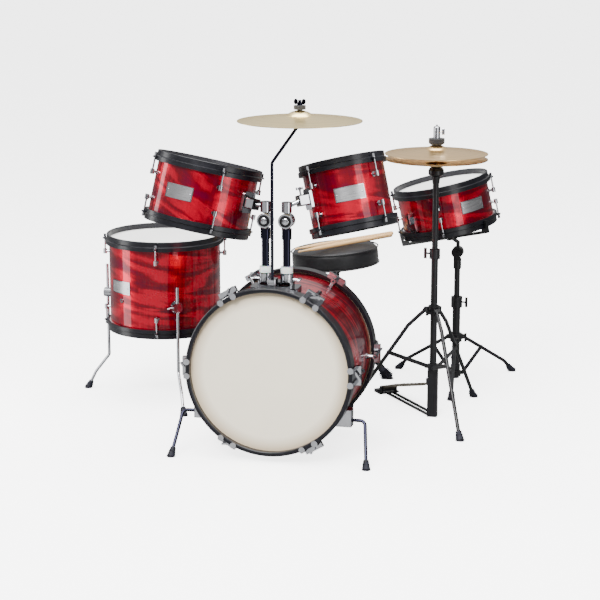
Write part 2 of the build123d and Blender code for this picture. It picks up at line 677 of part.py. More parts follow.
def tripod_brace(post, angle, inner, outer, leg_radius=5.2):
    """A flat brace beside its leg: an eye on the collar's pin and a rivet head at the leg."""
    plane = radial_plane(post, angle)
    face = leg_radius + FIT
    run = hypot(outer[0] - inner[0], outer[1] - inner[1])
    slope = degrees(atan2(outer[1] - inner[1], outer[0] - inner[0]))
    middle = ((inner[0] + outer[0]) / 2, (inner[1] + outer[1]) / 2)
    with BuildPart() as body:
        with BuildSketch(plane.offset(face)):
            with Locations(middle):
                SlotCenterToCenter(run, BRACE_WIDE, rotation=slope)
            with Locations(inner):
                Circle(PIVOT_PIN + PIN_FIT, mode=Mode.SUBTRACT)
        extrude(amount=BRACE_THICK)
        with BuildSketch(plane.offset(face + BRACE_THICK)):
            with Locations(outer):
                Circle(3.5)
        extrude(amount=1.6)
    return body.part


def clamp_ring(post, tube_radius, low, high, screw_angle, grip=5.0):
    """A height clamp: a sleeve round the tube's mouth with a wing screw."""
    with BuildPart() as body:
        with BuildSketch(post.offset(low)):
            Circle(tube_radius + grip)
        extrude(amount=high - low)
        base = post.offset((low + high) / 2)
        add(wing_screw(Plane(base.origin + outward(base, screw_angle) * (tube_radius + grip - 1),
                             x_dir=(0, 0, 1), z_dir=outward(base, screw_angle)), 14, 30))
    return body.part


# ---------------------------------------------------------------- hi-hat stand
hat = upright(HAT_X, HAT_Y)
HAT_ANGLES = (182.0, 69.0, -63.5)
HAT_TUBE, HAT_BORE, HAT_UPPER, HAT_UPPER_BORE = 9.5, 8.6, 8.3, 5.0
HAT_COLLAR_Z, HAT_PIVOT, HAT_KINK, HAT_FOOT = 301.0, HAT_TUBE + PIVOT_OUT, (70.0, 255.0), (240.0, 0.0)
HAT_BRACE_IN, HAT_BRACE_OUT = (19.0, 141.0), (125.0, 174.0)
HAT_JOINT_Z = 457.0
HAT_BOW, HAT_BELL = 12.0, 11.0
HAT_CUP_Z = HAT_EDGE_Z - HAT_GAP - HAT_BOW - HAT_BELL - CYMBAL_THICK - REST
HAT_COLUMN = 27.0
with BuildPart() as hat_base:
    with BuildSketch(hat):
        Rectangle(HAT_COLUMN, 22)
        Rectangle(HAT_COLUMN - 5, 17, mode=Mode.SUBTRACT)
    extrude(amount=132)
    with BuildSketch(hat.offset(128)):
        Circle(HAT_TUBE + 5)
        Circle(HAT_BORE, mode=Mode.SUBTRACT)
    extrude(amount=6)
    with BuildSketch(hat.offset(128)):
        Circle(HAT_TUBE)
        Circle(HAT_BORE, mode=Mode.SUBTRACT)
    extrude(amount=HAT_JOINT_Z + 10 - 128)
    add(brace_ears(hat, HAT_TUBE, HAT_BRACE_IN[1], HAT_BRACE_IN[0], HAT_ANGLES))
    add(clamp_ring(hat, HAT_TUBE, HAT_JOINT_Z - 14, HAT_JOINT_Z + 12, 170))
    with BuildSketch(hat.offset(128)):
        Circle(HAT_BORE)
    extrude(amount=400, mode=Mode.SUBTRACT)

# the column is open towards the pedal, where the strap comes out and rises with the upper tube
STRAP_WIDE = 8.0
STRAP_WINDOW_LOW, STRAP_WINDOW_HIGH = 64.0, 160.0
heel_reach = hypot(HAT_HEEL_X - HAT_X, HAT_HEEL_Y - HAT_Y)
heel_angle = degrees(atan2(HAT_HEEL_Y - HAT_Y, HAT_HEEL_X - HAT_X))
PEDAL_WIDE = 62.0


def pedal_board(plane, toe, hinge, wide):
    """A footboard: a tapered plate with raised sides and grip ribs, bored for its heel pin."""
    run, rise = toe[0] - hinge[0], toe[1] - hinge[1]
    length = hypot(run, rise)
    along = Vector(run, rise).normalized()
    origin = plane.from_local_coords(Vector(hinge[0], hinge[1], 0))
    ahead = plane.x_dir * along.X + plane.y_dir * along.Y
    board = Plane(origin, x_dir=ahead, z_dir=ahead.cross(plane.z_dir) * (-1 if run < 0 else 1))
    if board.z_dir.Z < 0:
        board = Plane(origin, x_dir=ahead, z_dir=-board.z_dir)
    with BuildPart() as body:
        with BuildSketch(board.offset(3)):
            with BuildLine():
                Polyline((8, -wide / 2 + 6), (8, wide / 2 - 6), (length * 0.55, wide / 2),
                         (length, wide / 2 - 10), (length, -wide / 2 + 10),
                         (length * 0.55, -wide / 2), close=True)
            make_face()
        extrude(amount=4)
        with BuildSketch(board.offset(7)):
            with GridLocations(24, 1, 7, 1):
                with Locations((length * 0.55, 0)):
                    SlotOverall(wide * 0.7, 4, rotation=90)
        extrude(amount=1.5)
        with BuildSketch(Plane(origin, x_dir=ahead, z_dir=plane.z_dir).offset(-wide / 2 + 12)):
            Circle(6)
            with Locations((8, 2.5 if (Plane(origin, x_dir=ahead, z_dir=plane.z_dir).y_dir.Z > 0) else -2.5)):
                Rectangle(16, 7)
        extrude(amount=wide - 24)
        with BuildSketch(Plane(origin, x_dir=ahead, z_dir=plane.z_dir).offset(-wide / 2)):
            Circle(4 + PIN_FIT)
        extrude(amount=wide, mode=Mode.SUBTRACT)
    return body.part


def heel_plate(plane, hinge, back, wide):
    """The heel plate on the floor with the two ears and the pin that carry the footboard."""
    with BuildPart() as body:
        with BuildSketch(plane.offset(-wide / 2)):
            with BuildLine():
                Polyline((hinge[0] - 8, 0), (back, 0), (back, 9), (hinge[0] + 12, 9), (hinge[0] + 9, 4),
                         (hinge[0] - 8, 4), close=True)
            make_face()
        extrude(amount=wide)
        for low in (-wide / 2 + 6, wide / 2 - 11):
            with BuildSketch(plane.offset(low)):
                with Locations((hinge[0], hinge[1] / 2 + 1)):
                    Rectangle(14, hinge[1] + 2)
                with Locations(hinge):
                    Circle(7)
            extrude(amount=5)
        with BuildSketch(plane.offset(-wide / 2 + 4)):
            with Locations(hinge):
                Circle(4)
        extrude(amount=wide - 8)
    return body.part


hat_pedal = radial_plane(hat, heel_angle)
HAT_HINGE, HAT_TOE = (heel_reach - 26, 17.0), (24.0, 80.0)
with BuildPart() as hat_frame:
    add(hat_base.part)
    with BuildSketch(hat_pedal.offset(-STRAP_WIDE / 2 - 2)):
        with Locations((15, (STRAP_WINDOW_LOW + STRAP_WINDOW_HIGH) / 2)):
            Rectangle(30, STRAP_WINDOW_HIGH - STRAP_WINDOW_LOW)
    extrude(amount=STRAP_WIDE + 4, mode=Mode.SUBTRACT)
    add(heel_plate(hat_pedal, HAT_HINGE, heel_reach + 4, PEDAL_WIDE))
    for hand in (-1, 1):
        rail = hat_pedal.offset(hand * 9)
        with BuildSketch(rail.offset(-3)):
            with BuildLine():
                Polyline((8, 0.5), (heel_reach - 28, 0.5), (heel_reach - 28, 6.5), (8, 6.5), close=True)
            make_face()
        extrude(amount=6)
pieces["hihat_base"] = hat_frame.part
pieces["hihat_collar"] = tripod_collar(hat, HAT_TUBE, HAT_COLLAR_Z, HAT_PIVOT, HAT_ANGLES, 235)
for number, angle in enumerate(HAT_ANGLES, 1):
    pivot = (HAT_PIVOT, HAT_COLLAR_Z)
    pieces[f"hihat_leg_{number}"] = tripod_leg(hat, angle, pivot, HAT_KINK, HAT_FOOT)
    pieces[f"hihat_brace_{number}"] = tripod_brace(hat, angle, HAT_BRACE_IN, HAT_BRACE_OUT)

with BuildPart() as hat_upper:
    with BuildSketch(hat.offset(360)):
        Circle(HAT_UPPER)
        Circle(HAT_UPPER_BORE, mode=Mode.SUBTRACT)
    extrude(amount=HAT_CUP_Z - 360)
    add(turned(hat, (HAT_UPPER_BORE, 648), (HAT_UPPER + 1, 648), (12, 668), (20, 672), (21, 674), (21, 684),
               (18, HAT_CUP_Z), (HAT_UPPER_BORE, HAT_CUP_Z)))
pieces["hihat_upper_tube"] = hat_upper.part
pieces["hihat_footboard"] = pedal_board(hat_pedal, HAT_TOE, HAT_HINGE, PEDAL_WIDE)

hat_top_seat = hat.offset(HAT_EDGE_Z)
hat_low_seat = Plane(hat.offset(HAT_EDGE_Z - HAT_GAP).origin, x_dir=(1, 0, 0), z_dir=(0, 0, -1))
pieces["hihat_top_cymbal"] = cymbal(hat_top_seat, HAT_RADIUS, 30, HAT_BELL, HAT_BOW, CYMBAL_HOLE)
pieces["hihat_bottom_cymbal"] = cymbal(hat_low_seat, HAT_RADIUS, 30, HAT_BELL, HAT_BOW, CYMBAL_HOLE)
clutch_z = HAT_EDGE_Z + HAT_BOW + HAT_BELL + CYMBAL_THICK + REST
with BuildPart() as pull_rod:
    with BuildSketch(hat.offset(92)):
        Circle(3)
    extrude(amount=714)
    sleeve = 3 + PIN_FIT
    felt = sleeve + 2.4 + PIN_FIT
    add(turned(hat, (felt, clutch_z), (15, clutch_z), (20, clutch_z + 3), (21.5, clutch_z + 6),
               (21.5, clutch_z + 17), (felt, clutch_z + 17)))
    add(turned(hat, (sleeve, clutch_z - 12), (9, clutch_z - 12), (9, clutch_z - 5),
               (felt - PIN_FIT, clutch_z - 2), (felt - PIN_FIT, clutch_z + 17.2), (9, clutch_z + 17.2),
               (9, clutch_z + 47), (7.5, clutch_z + 49), (sleeve, clutch_z + 49)))
    screw = Plane(hat.origin + Vector(8, 0, clutch_z + 36), x_dir=(0, 0, 1), z_dir=(1, 0, 0))
    add(wing_screw(screw, 10, 18))
    strap_low = HAT_TOE[1] + 6.5
    with BuildSketch(hat_pedal.offset(-STRAP_WIDE / 2)):
        with BuildLine():
            Polyline((-3, 92), (-3, 101), (32, 101), (32, strap_low), (28, strap_low), (28, 97), (3, 97),
                     (3, 92), close=True)
        make_face()
    extrude(amount=STRAP_WIDE)
pieces["hihat_pull_rod"] = pull_rod.part

# ---------------------------------------------------------------- snare stand
stand = upright(SNARE_STAND_X, SNARE_STAND_Y)
STAND_ANGLES = (151.0, 45.0, -85.0)
STAND_TUBE, STAND_BORE, STAND_UPPER = 11.5, 9.2, 8.5
STAND_COLLAR_Z, STAND_PIVOT = 133.0, STAND_TUBE + PIVOT_OUT
STAND_KINK, STAND_FOOT = (184.0, 36.0), (216.0, 0.0)
STAND_BRACE_IN, STAND_BRACE_OUT = (21.0, 24.0), (89.0, 94.0)
STAND_JOINT_Z, STAND_RATCHET_Z = 246.0, 389.0
with BuildPart() as stand_lower:
    with BuildSketch(stand.offset(10)):
        Circle(STAND_TUBE)
        Circle(STAND_BORE, mode=Mode.SUBTRACT)
    extrude(amount=STAND_JOINT_Z + 8 - 10)
    add(brace_ears(stand, STAND_TUBE, STAND_BRACE_IN[1], STAND_BRACE_IN[0], STAND_ANGLES))
    with BuildSketch(stand.offset(36)):
        Circle(STAND_TUBE + 2.5)
    extrude(amount=14)
    add(clamp_ring(stand, STAND_TUBE, STAND_JOINT_Z - 22, STAND_JOINT_Z + 10, -5))
    with BuildSketch(stand.offset(9)):
        Circle(STAND_BORE)
    extrude(amount=400, mode=Mode.SUBTRACT)
pieces["snare_stand_lower_tube"] = stand_lower.part
pieces["snare_stand_collar"] = tripod_collar(stand, STAND_TUBE, STAND_COLLAR_Z, STAND_PIVOT, STAND_ANGLES, 5)
for number, angle in enumerate(STAND_ANGLES, 1):
    pivot = (STAND_PIVOT, STAND_COLLAR_Z)
    pieces[f"snare_stand_leg_{number}"] = tripod_leg(stand, angle, pivot, STAND_KINK, STAND_FOOT)
    pieces[f"snare_stand_brace_{number}"] = tripod_brace(stand, angle, STAND_BRACE_IN, STAND_BRACE_OUT)

HUB_RADIUS, HUB_HALF, NECK_ROD = 17.0, 13.0, 5.5
hub = Plane(at(SNARE_STAND_X, SNARE_STAND_Y, STAND_RATCHET_Z), x_dir=(1, 0, 0), z_dir=(0, -1, 0))
with BuildPart() as stand_upper:
    with BuildSketch(stand.offset(170)):
        Circle(STAND_UPPER)
    extrude(amount=180)
    with BuildSketch(stand.offset(340)):
        Circle(11.5)
    extrude(amount=30)
    with BuildSketch(upright(SNARE_STAND_X, SNARE_STAND_Y - HUB_HALF / 2 - FIT, 366)):
        Rectangle(20, HUB_HALF - 1)
    extrude(amount=16)
    with BuildSketch(hub.offset(FIT / 2)):
        Circle(HUB_RADIUS)
    extrude(amount=HUB_HALF)
    with BuildSketch(hub.offset(-HUB_HALF - 4)):
        Circle(4)
    extrude(amount=2 * HUB_HALF + 8)
    with BuildSketch(hub.offset(HUB_HALF)):
        Circle(7)
    extrude(amount=5)
pieces["snare_stand_upper_tube"] = stand_upper.part

# the basket lies parallel to the snare drum, just under its lower hoop
hoop_low = SNARE_LENGTH / 2 + HOOP_RISE
basket = snare.offset(-hoop_low)
arm_angles = (-155.0, -35.0, 85.0)
hook_reach = SNARE_RADIUS + HOOP_BAND_OUT + FIT
with BuildPart() as snare_basket:
    with BuildSketch(basket.offset(-30)):
        Circle(16)
    extrude(amount=14)
    for angle in arm_angles:
        plane = radial_plane(basket, angle)
        with BuildSketch(plane.offset(-5)):
            with BuildLine():
                Polyline((9, -27), (hook_reach + 6, -14), (hook_reach + 8, 22), (hook_reach, 22),
                         (hook_reach - REST, -FIT), (hook_reach - 14, -FIT), (hook_reach - 14, -8),
                         (9, -20), close=True)
            make_face()
        extrude(amount=10)
    with BuildSketch(hub.offset(-HUB_HALF - FIT / 2)):
        Circle(HUB_RADIUS)
    extrude(amount=HUB_HALF)
    rise = basket.from_local_coords(Vector(0, 0, -26))
    neck = upright(SNARE_STAND_X, SNARE_STAND_Y + HUB_HALF / 2 + FIT / 2, STAND_RATCHET_Z)
    neck_top = neck.origin + Vector(0, 0, HUB_RADIUS + 11)
    with BuildSketch(neck):
        Circle(NECK_ROD)
    extrude(amount=HUB_RADIUS + 13)
    with BuildSketch(Plane(neck_top, z_dir=rise - neck_top)):
        Circle(NECK_ROD)
    extrude(amount=(rise - neck_top).length)
    with BuildSketch(hub.offset(-3 * HUB_HALF)):
        Circle(4 + PIN_FIT)
    extrude(amount=4 * HUB_HALF, mode=Mode.SUBTRACT)
pieces["snare_basket"] = snare_basket.part

drum, radius, length, lug_angle, badge_angle = DRUMS["snare"]
with BuildPart() as hardware:
    add(tom_hardware(drum, radius, length, lug_angle, badge_angle))
    for angle, tall in ((-127.0, 46.0), (53.0, 30.0)):
        seat = side_plane(drum, radius + REST, angle, -length / 2 + 34)
        with BuildSketch(seat):
            RectangleRounded(tall, 26, 4)
        extrude(amount=9)
        with BuildSketch(seat.offset(9)):
            with Locations((-6, 0)):
                RectangleRounded(20, 34, 4)
        extrude(amount=5)
    lever = side_plane(drum, radius + REST, -127, -length / 2 + 52)
    with BuildSketch(lever):
        SlotOverall(34, 8)
    extrude(amount=20)
    bottom = drum.offset(-length / 2 - 0.8 - REST)
    across = Plane(bottom.origin, x_dir=outward(bottom, -127), z_dir=-bottom.z_dir)
    with BuildSketch(across):
        with GridLocations(0, 4.5, 1, 9):
            Rectangle(2 * radius - 50, 1.6)
    extrude(amount=1.6)
    with BuildSketch(across):
        with GridLocations(2 * radius - 50, 0, 2, 1):
            RectangleRounded(14, 44, 2)
    extrude(amount=2)
pieces["snare_hardware"] = hardware.part

# ---------------------------------------------------------------- throne
throne = upright(THRONE_X, THRONE_Y)
THRONE_TUBE, THRONE_BORE, THRONE_POST = 14.0, 11.6, 11.0
THRONE_ANGLES = (-10.0, 110.0, 230.0)
THRONE_CLAMP_Z = 236.0
seat_axis = drum_plane(THRONE_X, THRONE_Y, SEAT_BASE_Z, -SEAT_LEAN, 0)
with BuildPart() as throne_tripod:
    with BuildSketch(throne.offset(60)):
        Circle(THRONE_TUBE)
    extrude(amount=THRONE_CLAMP_Z - 60)
    for low, high in ((60, 78), (176, 200)):
        with BuildSketch(throne.offset(low)):
            Circle(THRONE_TUBE + 6)
        extrude(amount=high - low)
    add(clamp_ring(throne, THRONE_TUBE, THRONE_CLAMP_Z - 26, THRONE_CLAMP_Z, 60, 6))
    for angle in THRONE_ANGLES:
        plane = radial_plane(throne, angle)
        boot, boot_top = rubber_foot(plane, (171, 0), (16, 188), 15, 11, 46)
        add(bent_rod(plane, [(16, 188), boot_top], 0, 7))
        add(bent_rod(plane, [(16, 69), (96, 90)], 0, 4.5))
        add(boot)
    with BuildSketch(throne.offset(59)):
        Circle(THRONE_BORE)
    extrude(amount=400, mode=Mode.SUBTRACT)
pieces["throne_tripod"] = throne_tripod.part
with BuildPart() as throne_post:
    with BuildSketch(throne.offset(110)):
        Circle(THRONE_POST)
        Circle(THRONE_POST - 2, mode=Mode.SUBTRACT)
    extrude(amount=SEAT_BASE_Z - 16 - 110)
    with BuildSketch(throne.offset(SEAT_BASE_Z - 22)):
        Circle(THRONE_POST + 3)
    extrude(amount=8)
    add(turned(seat_axis, (0, -16), (16, -16), (26, -8), (30, -5), (30, -FIT), (0, -FIT)))
pieces["throne_post"] = throne_post.part
rim = SEAT_THICK
cushion = [(0, 0), (SEAT_RADIUS - 3, 0), (SEAT_RADIUS, 6), (SEAT_RADIUS, rim - 10)]
cushion += [(SEAT_RADIUS - 4, rim - 3), (SEAT_RADIUS - 13, rim)]
cushion += [(SEAT_RADIUS * 0.6, rim + SEAT_CROWN * 0.7), (0, rim + SEAT_CROWN)]
pieces["throne_seat"] = turned(seat_axis, *cushion)


def stick(lie, back):
    """One drumstick lying along its plane's x: butt, shaft, taper, neck and bead."""
    half = STICK_LENGTH / 2
    along = Plane(lie.origin - lie.x_dir * (half + back), x_dir=lie.y_dir, z_dir=lie.x_dir)
    return turned(along, (0, 0), (2.4, 0.6), (3.3, 4), (2.6, 9), (2.4, 13), (STICK_RADIUS, 78),
                  (STICK_RADIUS, STICK_LENGTH - 4), (STICK_RADIUS - 3, STICK_LENGTH), (0, STICK_LENGTH))


# the sticks lie side by side across the front of the cushion, whose top falls away from its middle
with BuildPart() as drumsticks:
    for turn, back, aside in ((40.0, -14.0, -40.0), (45.0, 4.0, -70.0)):
        fall = 0.3 * SEAT_CROWN * abs(aside) / (0.6 * SEAT_RADIUS)
        height = SEAT_THICK + SEAT_CROWN - fall + STICK_RADIUS + REST
        direction = outward(seat_axis, turn)
        across = outward(seat_axis, turn + 90)
        middle = seat_axis.origin + seat_axis.z_dir * height + across * aside
        add(stick(Plane(middle, x_dir=direction, z_dir=seat_axis.z_dir), back))
pieces["drumsticks"] = drumsticks.part

# ---------------------------------------------------------------- bass pedal
PEDAL_Y, AXLE_Z, AXLE_RADIUS = 345.0, 110.0, 4.0
PEDAL_HINGE, PEDAL_TOE = (288.0, 17.0), (34.0, 58.0)
BASS_PEDAL_WIDE = 72.0
pedal_base = Plane(at(0, PEDAL_Y), x_dir=(1, 0, 0), z_dir=(0, 0, 1))
pedal_side = radial_plane(pedal_base, 90)
hoop_bottom = bass_rear.from_local_coords(Vector(0, 0, front)).Z - hoop_outer * cos(tilt)
with BuildPart() as pedal_frame:
    plate_top = hoop_bottom - REST
    with BuildSketch(pedal_base):
        with Locations((0, -6)):
            RectangleRounded(104, 52, 6)
    extrude(amount=plate_top)
    for hand in (-1, 1):
        with BuildSketch(pedal_base.offset(plate_top - 1)):
            with Locations((hand * 40, 0)):
                Rectangle(9, 16)
        extrude(amount=AXLE_Z + 10 - plate_top)
    with BuildSketch(pedal_base):
        with Locations((0, PEDAL_HINGE[0] / 2)):
            Rectangle(18, PEDAL_HINGE[0])
    extrude(amount=5)
    add(heel_plate(pedal_side, PEDAL_HINGE, PEDAL_HINGE[0] + 34, BASS_PEDAL_WIDE))
    with BuildSketch(pedal_side.offset(-60)):
        with Locations((0, AXLE_Z)):
            Circle(AXLE_RADIUS + PIN_FIT)
    extrude(amount=120, mode=Mode.SUBTRACT)
pieces["bass_pedal_frame"] = pedal_frame.part
CAM_RADIUS, BEATER_BACK, BEATER_LENGTH = 16.0, 36.0, 122.0
CAM_GAP = 3.0  # from the cam to the strap, which tips towards it as the board goes down
STRAP_REACH = CAM_RADIUS + CAM_GAP
toe_top = PEDAL_TOE[1] + 1
with BuildPart() as pedal_plate:
    add(pedal_board(pedal_side, PEDAL_TOE, PEDAL_HINGE, BASS_PEDAL_WIDE))
    with BuildSketch(pedal_side.offset(-6)):
        with BuildLine():
            Polyline((STRAP_REACH, toe_top), (STRAP_REACH + 24, toe_top), (STRAP_REACH + 24, toe_top + 5),
                     (STRAP_REACH + 3, toe_top + 5), (STRAP_REACH + 3, AXLE_Z + 4),
                     (STRAP_REACH, AXLE_Z + 4), close=True)
        make_face()
    extrude(amount=12)
pieces["bass_pedal_footboard"] = pedal_plate.part
swing = Plane(at(0, PEDAL_Y, AXLE_Z), x_dir=(0, sin(radians(BEATER_BACK)), cos(radians(BEATER_BACK))),
              z_dir=(0, cos(radians(BEATER_BACK)), -sin(radians(BEATER_BACK))))
with BuildPart() as beater:
    with BuildSketch(pedal_side.offset(-50)):
        with Locations((0, AXLE_Z)):
            Circle(AXLE_RADIUS)
    extrude(amount=100)
    with BuildSketch(pedal_side.offset(-8)):
        with Locations((0, AXLE_Z)):
            Circle(CAM_RADIUS)
    extrude(amount=16)
    shaft = Plane(swing.origin, z_dir=swing.x_dir)
    with BuildSketch(shaft):
        Circle(3.5)
    extrude(amount=BEATER_LENGTH)
    head = Plane(swing.origin + swing.x_dir * BEATER_LENGTH, x_dir=(1, 0, 0), z_dir=swing.z_dir)
    with BuildSketch(head.offset(-20)):
        Circle(23)
    extrude(amount=40)
pieces["bass_pedal_beater"] = beater.part

# ---------------------------------------------------------------- files
for name, piece in pieces.items():
    piece.label = name
    export_step(piece, f"parts/{name}.step")
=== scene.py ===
import json
from math import cos, pi, radians, sin, tau

import bmesh
import bpy
import numpy as np
from bpy.props import FloatProperty, FloatVectorProperty, IntProperty, PointerProperty
from mathutils import Matrix, Vector


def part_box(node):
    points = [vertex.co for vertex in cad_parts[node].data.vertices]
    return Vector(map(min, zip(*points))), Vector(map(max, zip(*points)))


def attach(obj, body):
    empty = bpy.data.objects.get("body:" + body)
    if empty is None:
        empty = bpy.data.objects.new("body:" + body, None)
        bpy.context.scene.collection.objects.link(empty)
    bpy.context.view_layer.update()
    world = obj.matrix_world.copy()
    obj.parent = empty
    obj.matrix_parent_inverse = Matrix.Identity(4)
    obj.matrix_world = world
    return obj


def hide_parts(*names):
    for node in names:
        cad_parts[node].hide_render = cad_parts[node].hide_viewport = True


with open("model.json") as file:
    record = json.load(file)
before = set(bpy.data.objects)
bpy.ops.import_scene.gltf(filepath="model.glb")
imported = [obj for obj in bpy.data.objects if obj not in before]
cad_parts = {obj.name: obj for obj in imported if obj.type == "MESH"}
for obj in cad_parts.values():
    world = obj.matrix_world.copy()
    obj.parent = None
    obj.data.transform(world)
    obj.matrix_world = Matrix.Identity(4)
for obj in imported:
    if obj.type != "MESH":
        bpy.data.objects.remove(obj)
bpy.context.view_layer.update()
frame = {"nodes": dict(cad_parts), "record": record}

bl_info = {
    "name": "Drum Kit",
    "version": (1, 0, 0),
    "blender": (4, 5, 0),
    "location": "3D View > Sidebar > Drum Kit",
    "description": "Finishes, soft pieces and trims of an acoustic drum kit",
    "category": "Object",
}

MM = 0.001
# The middle and the half size of a bracket's block, outwards, sideways and up from the shell's face.
BRACKET_MIDDLE, BRACKET_HALF = (20.5 * MM, 0.0, 8.0 * MM), (15.0 * MM, 14.4 * MM, 18.5 * MM)
BODY_OF = {node: body for body, nodes in frame["record"]["behaviour"]["bodies"].items() for node in nodes}

# How far each small drum leans, in degrees: its top to the right, and its top back.
SMALL_DRUMS = {
    "left_tom": (11.0, 9.0),
    "right_tom": (-14.0, 9.0),
    "floor_tom": (0.0, 0.0),
    "snare": (-12.6, -2.0),
}
DRUMS = ("bass", *SMALL_DRUMS)
TRIPODS, LEGS = ("hihat", "snare_stand"), (1, 2, 3)
BADGE_ANGLES = {"left_tom": -103.0, "right_tom": -76.0, "floor_tom": -125.5, "snare": -44.0}
STREAK_LEANS = {"bass": 24.0, "left_tom": 24.0, "right_tom": 12.0, "floor_tom": 9.0, "snare": 14.0}
BRACKET_ANGLES = {"left_tom": -16.7, "right_tom": 212.0}
BASS_LIFT = radians(1.6)


# ---------------------------------------------------------------- places
def axis_frame(centre, up, side=(1.0, 0.0, 0.0)):
    """The frame at a centre whose z runs along up and whose x lies nearly along side."""
    up = Vector(up).normalized()
    across = Vector(side)
    across = (across - up * across.dot(up)).normalized()
    turn = Matrix((across, up.cross(across), up)).transposed()
    return Matrix.Translation(centre) @ turn.to_4x4()


def box_middle(node):
    low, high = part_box(node)
    return (low + high) / 2


def drum_frame(drum):
    """A drum's own frame: its middle, with z up its axis."""
    middle = box_middle(drum + "_shell")
    if drum == "bass":
        return axis_frame(middle, (0.0, -cos(BASS_LIFT), sin(BASS_LIFT)))
    right, back = (radians(lean) for lean in SMALL_DRUMS[drum])
    return axis_frame(middle, (sin(right), sin(back), 1.0))


def corners(node):
    """The corner points of a CAD node, one row each."""
    return vertex_rows(frame["nodes"][node].data)


def drum_radius(drum):
    """The shell's outside radius, from its corner points."""
    local = points_in(drum_frame(drum), corners(drum + "_shell"))
    return float(np.hypot(local[:, 0], local[:, 1]).max())


def points_in(place, points):
    inverse = np.array(place.inverted())
    return points @ inverse[:3, :3].T + inverse[:3, 3]


def solids(node):
    """A CAD node's separate solids: for each, which faces it has and its corner points."""
    mesh = frame["nodes"][node].data
    points = corners(node)
    _, same = np.unique(np.round(points / (0.01 * MM)).astype(np.int64), axis=0, return_inverse=True)
    ends = np.zeros(len(mesh.loops), np.int32)
    mesh.loops.foreach_get("vertex_index", ends)
    triangles = same.reshape(-1)[ends].reshape(-1, 3)
    label = np.arange(triangles.max() + 1)
    while True:
        lowest = label[triangles].min(axis=1)
        joined = label.copy()
        np.minimum.at(joined, triangles.ravel(), np.repeat(lowest, 3))
        joined = joined[joined]
        if (joined == label).all():
            break
        label = joined
    of_face = label[triangles[:, 0]]
    for name in np.unique(of_face):
        faces = np.flatnonzero(of_face == name)
        used = np.unique(ends.reshape(-1, 3)[faces])
        yield faces, points[used]


# ---------------------------------------------------------------- finishes
class Finish:
    """A material's node tree, with a short call for each kind of node that the finishes use."""

    def __init__(self, name, **sockets):
        self.material = bpy.data.materials.new(name)
        self.material.use_nodes = True
        self.tree = self.material.node_tree
        self.shader = self.tree.nodes["Principled BSDF"]
        for key, value in sockets.items():
            self.set(key.replace("_", " "), value)

    def set(self, socket, value):
        """Sets one of the shader's sockets to a constant or links another node's output to it."""
        entry = self.shader.inputs[socket]
        if isinstance(value, bpy.types.NodeSocket):
            self.tree.links.new(value, entry)
        elif isinstance(value, (tuple, list)) or hasattr(value, "__len__"):
            entry.default_value = (*value[:3], 1.0)
        else:
            entry.default_value = value

    def node(self, kind, values, **settings):
        made = self.tree.nodes.new("ShaderNode" + kind)
        for key, value in settings.items():
            setattr(made, key, value)
        for key, value in values.items():
            if isinstance(value, bpy.types.NodeSocket):
                self.tree.links.new(value, made.inputs[key])
            else:
                made.inputs[key].default_value = value
        return made

    def place(self, local=Matrix.Identity(4), stretch=(1.0, 1.0, 1.0)):
        """Object coordinates seen from a frame, then stretched."""
        where = self.node("TexCoord", {}).outputs["Object"]
        turn = local.to_euler()
        seen = self.node("Mapping", {"Vector": where, "Location": local.translation[:], "Rotation": turn[:]},
                         vector_type="TEXTURE").outputs[0]
        return self.node("Mapping", {"Vector": seen, "Scale": stretch}).outputs[0]

    def noise(self, where, scale, detail=3.0, rough=0.5, twist=0.0):
        values = {"Vector": where, "Scale": scale, "Detail": detail, "Roughness": rough, "Distortion": twist}
        return self.node("TexNoise", values).outputs["Fac"]

    def rings(self, where, scale, twist=0.0):
        values = {"Vector": where, "Scale": scale, "Distortion": twist, "Detail": 2.0}
        return self.node("TexWave", values, wave_type="RINGS", rings_direction="Z").outputs["Fac"]

    def cells(self, where, scale, feature="F1"):
        return self.node("TexVoronoi", {"Vector": where, "Scale": scale}, feature=feature).outputs["Distance"]

    def sums(self, operation, first, second=0.0):
        return self.node("Math", {0: first, 1: second}, operation=operation).outputs[0]

    def ramp(self, amount, *stops):
        """A colour or grey ramp from (place, colour) stops."""
        made = self.node("ValToRGB", {"Fac": amount})
        band = made.color_ramp
        while len(band.elements) < len(stops):
            band.elements.new(0.5)
        for entry, (spot, colour) in zip(band.elements, stops):
            entry.position = spot
            entry.color = (colour,) * 3 + (1.0,) if isinstance(colour, float) else (*colour[:3], 1.0)
        return made.outputs["Color"]

    def blend(self, amount, first, second, kind="MIX"):
        made = self.node("Mix", {0: amount}, data_type="RGBA", blend_type=kind)
        for index, value in ((6, first), (7, second)):
            if isinstance(value, bpy.types.NodeSocket):
                self.tree.links.new(value, made.inputs[index])
            else:
                made.inputs[index].default_value = (*value[:3], 1.0)
        return made.outputs[2]

    def bump(self, height, depth, strength=1.0):
        """Roughens the surface by a height, at most depth metres deep."""
        made = self.node("Bump", {"Height": height, "Distance": depth, "Strength": strength})
        self.set("Normal", made.outputs[0])

    def from_axis(self, local):
        """The distance of a point from a frame's z axis, in metres."""
        parts = self.node("SeparateXYZ", {0: self.place(local)}).outputs
        across = self.sums("MULTIPLY", parts[0], parts[0])
        along = self.sums("MULTIPLY", parts[1], parts[1])
        return self.sums("SQRT", self.sums("ADD", across, along))


def shade(colour, amount):
    return tuple(channel * amount for channel in colour[:3])


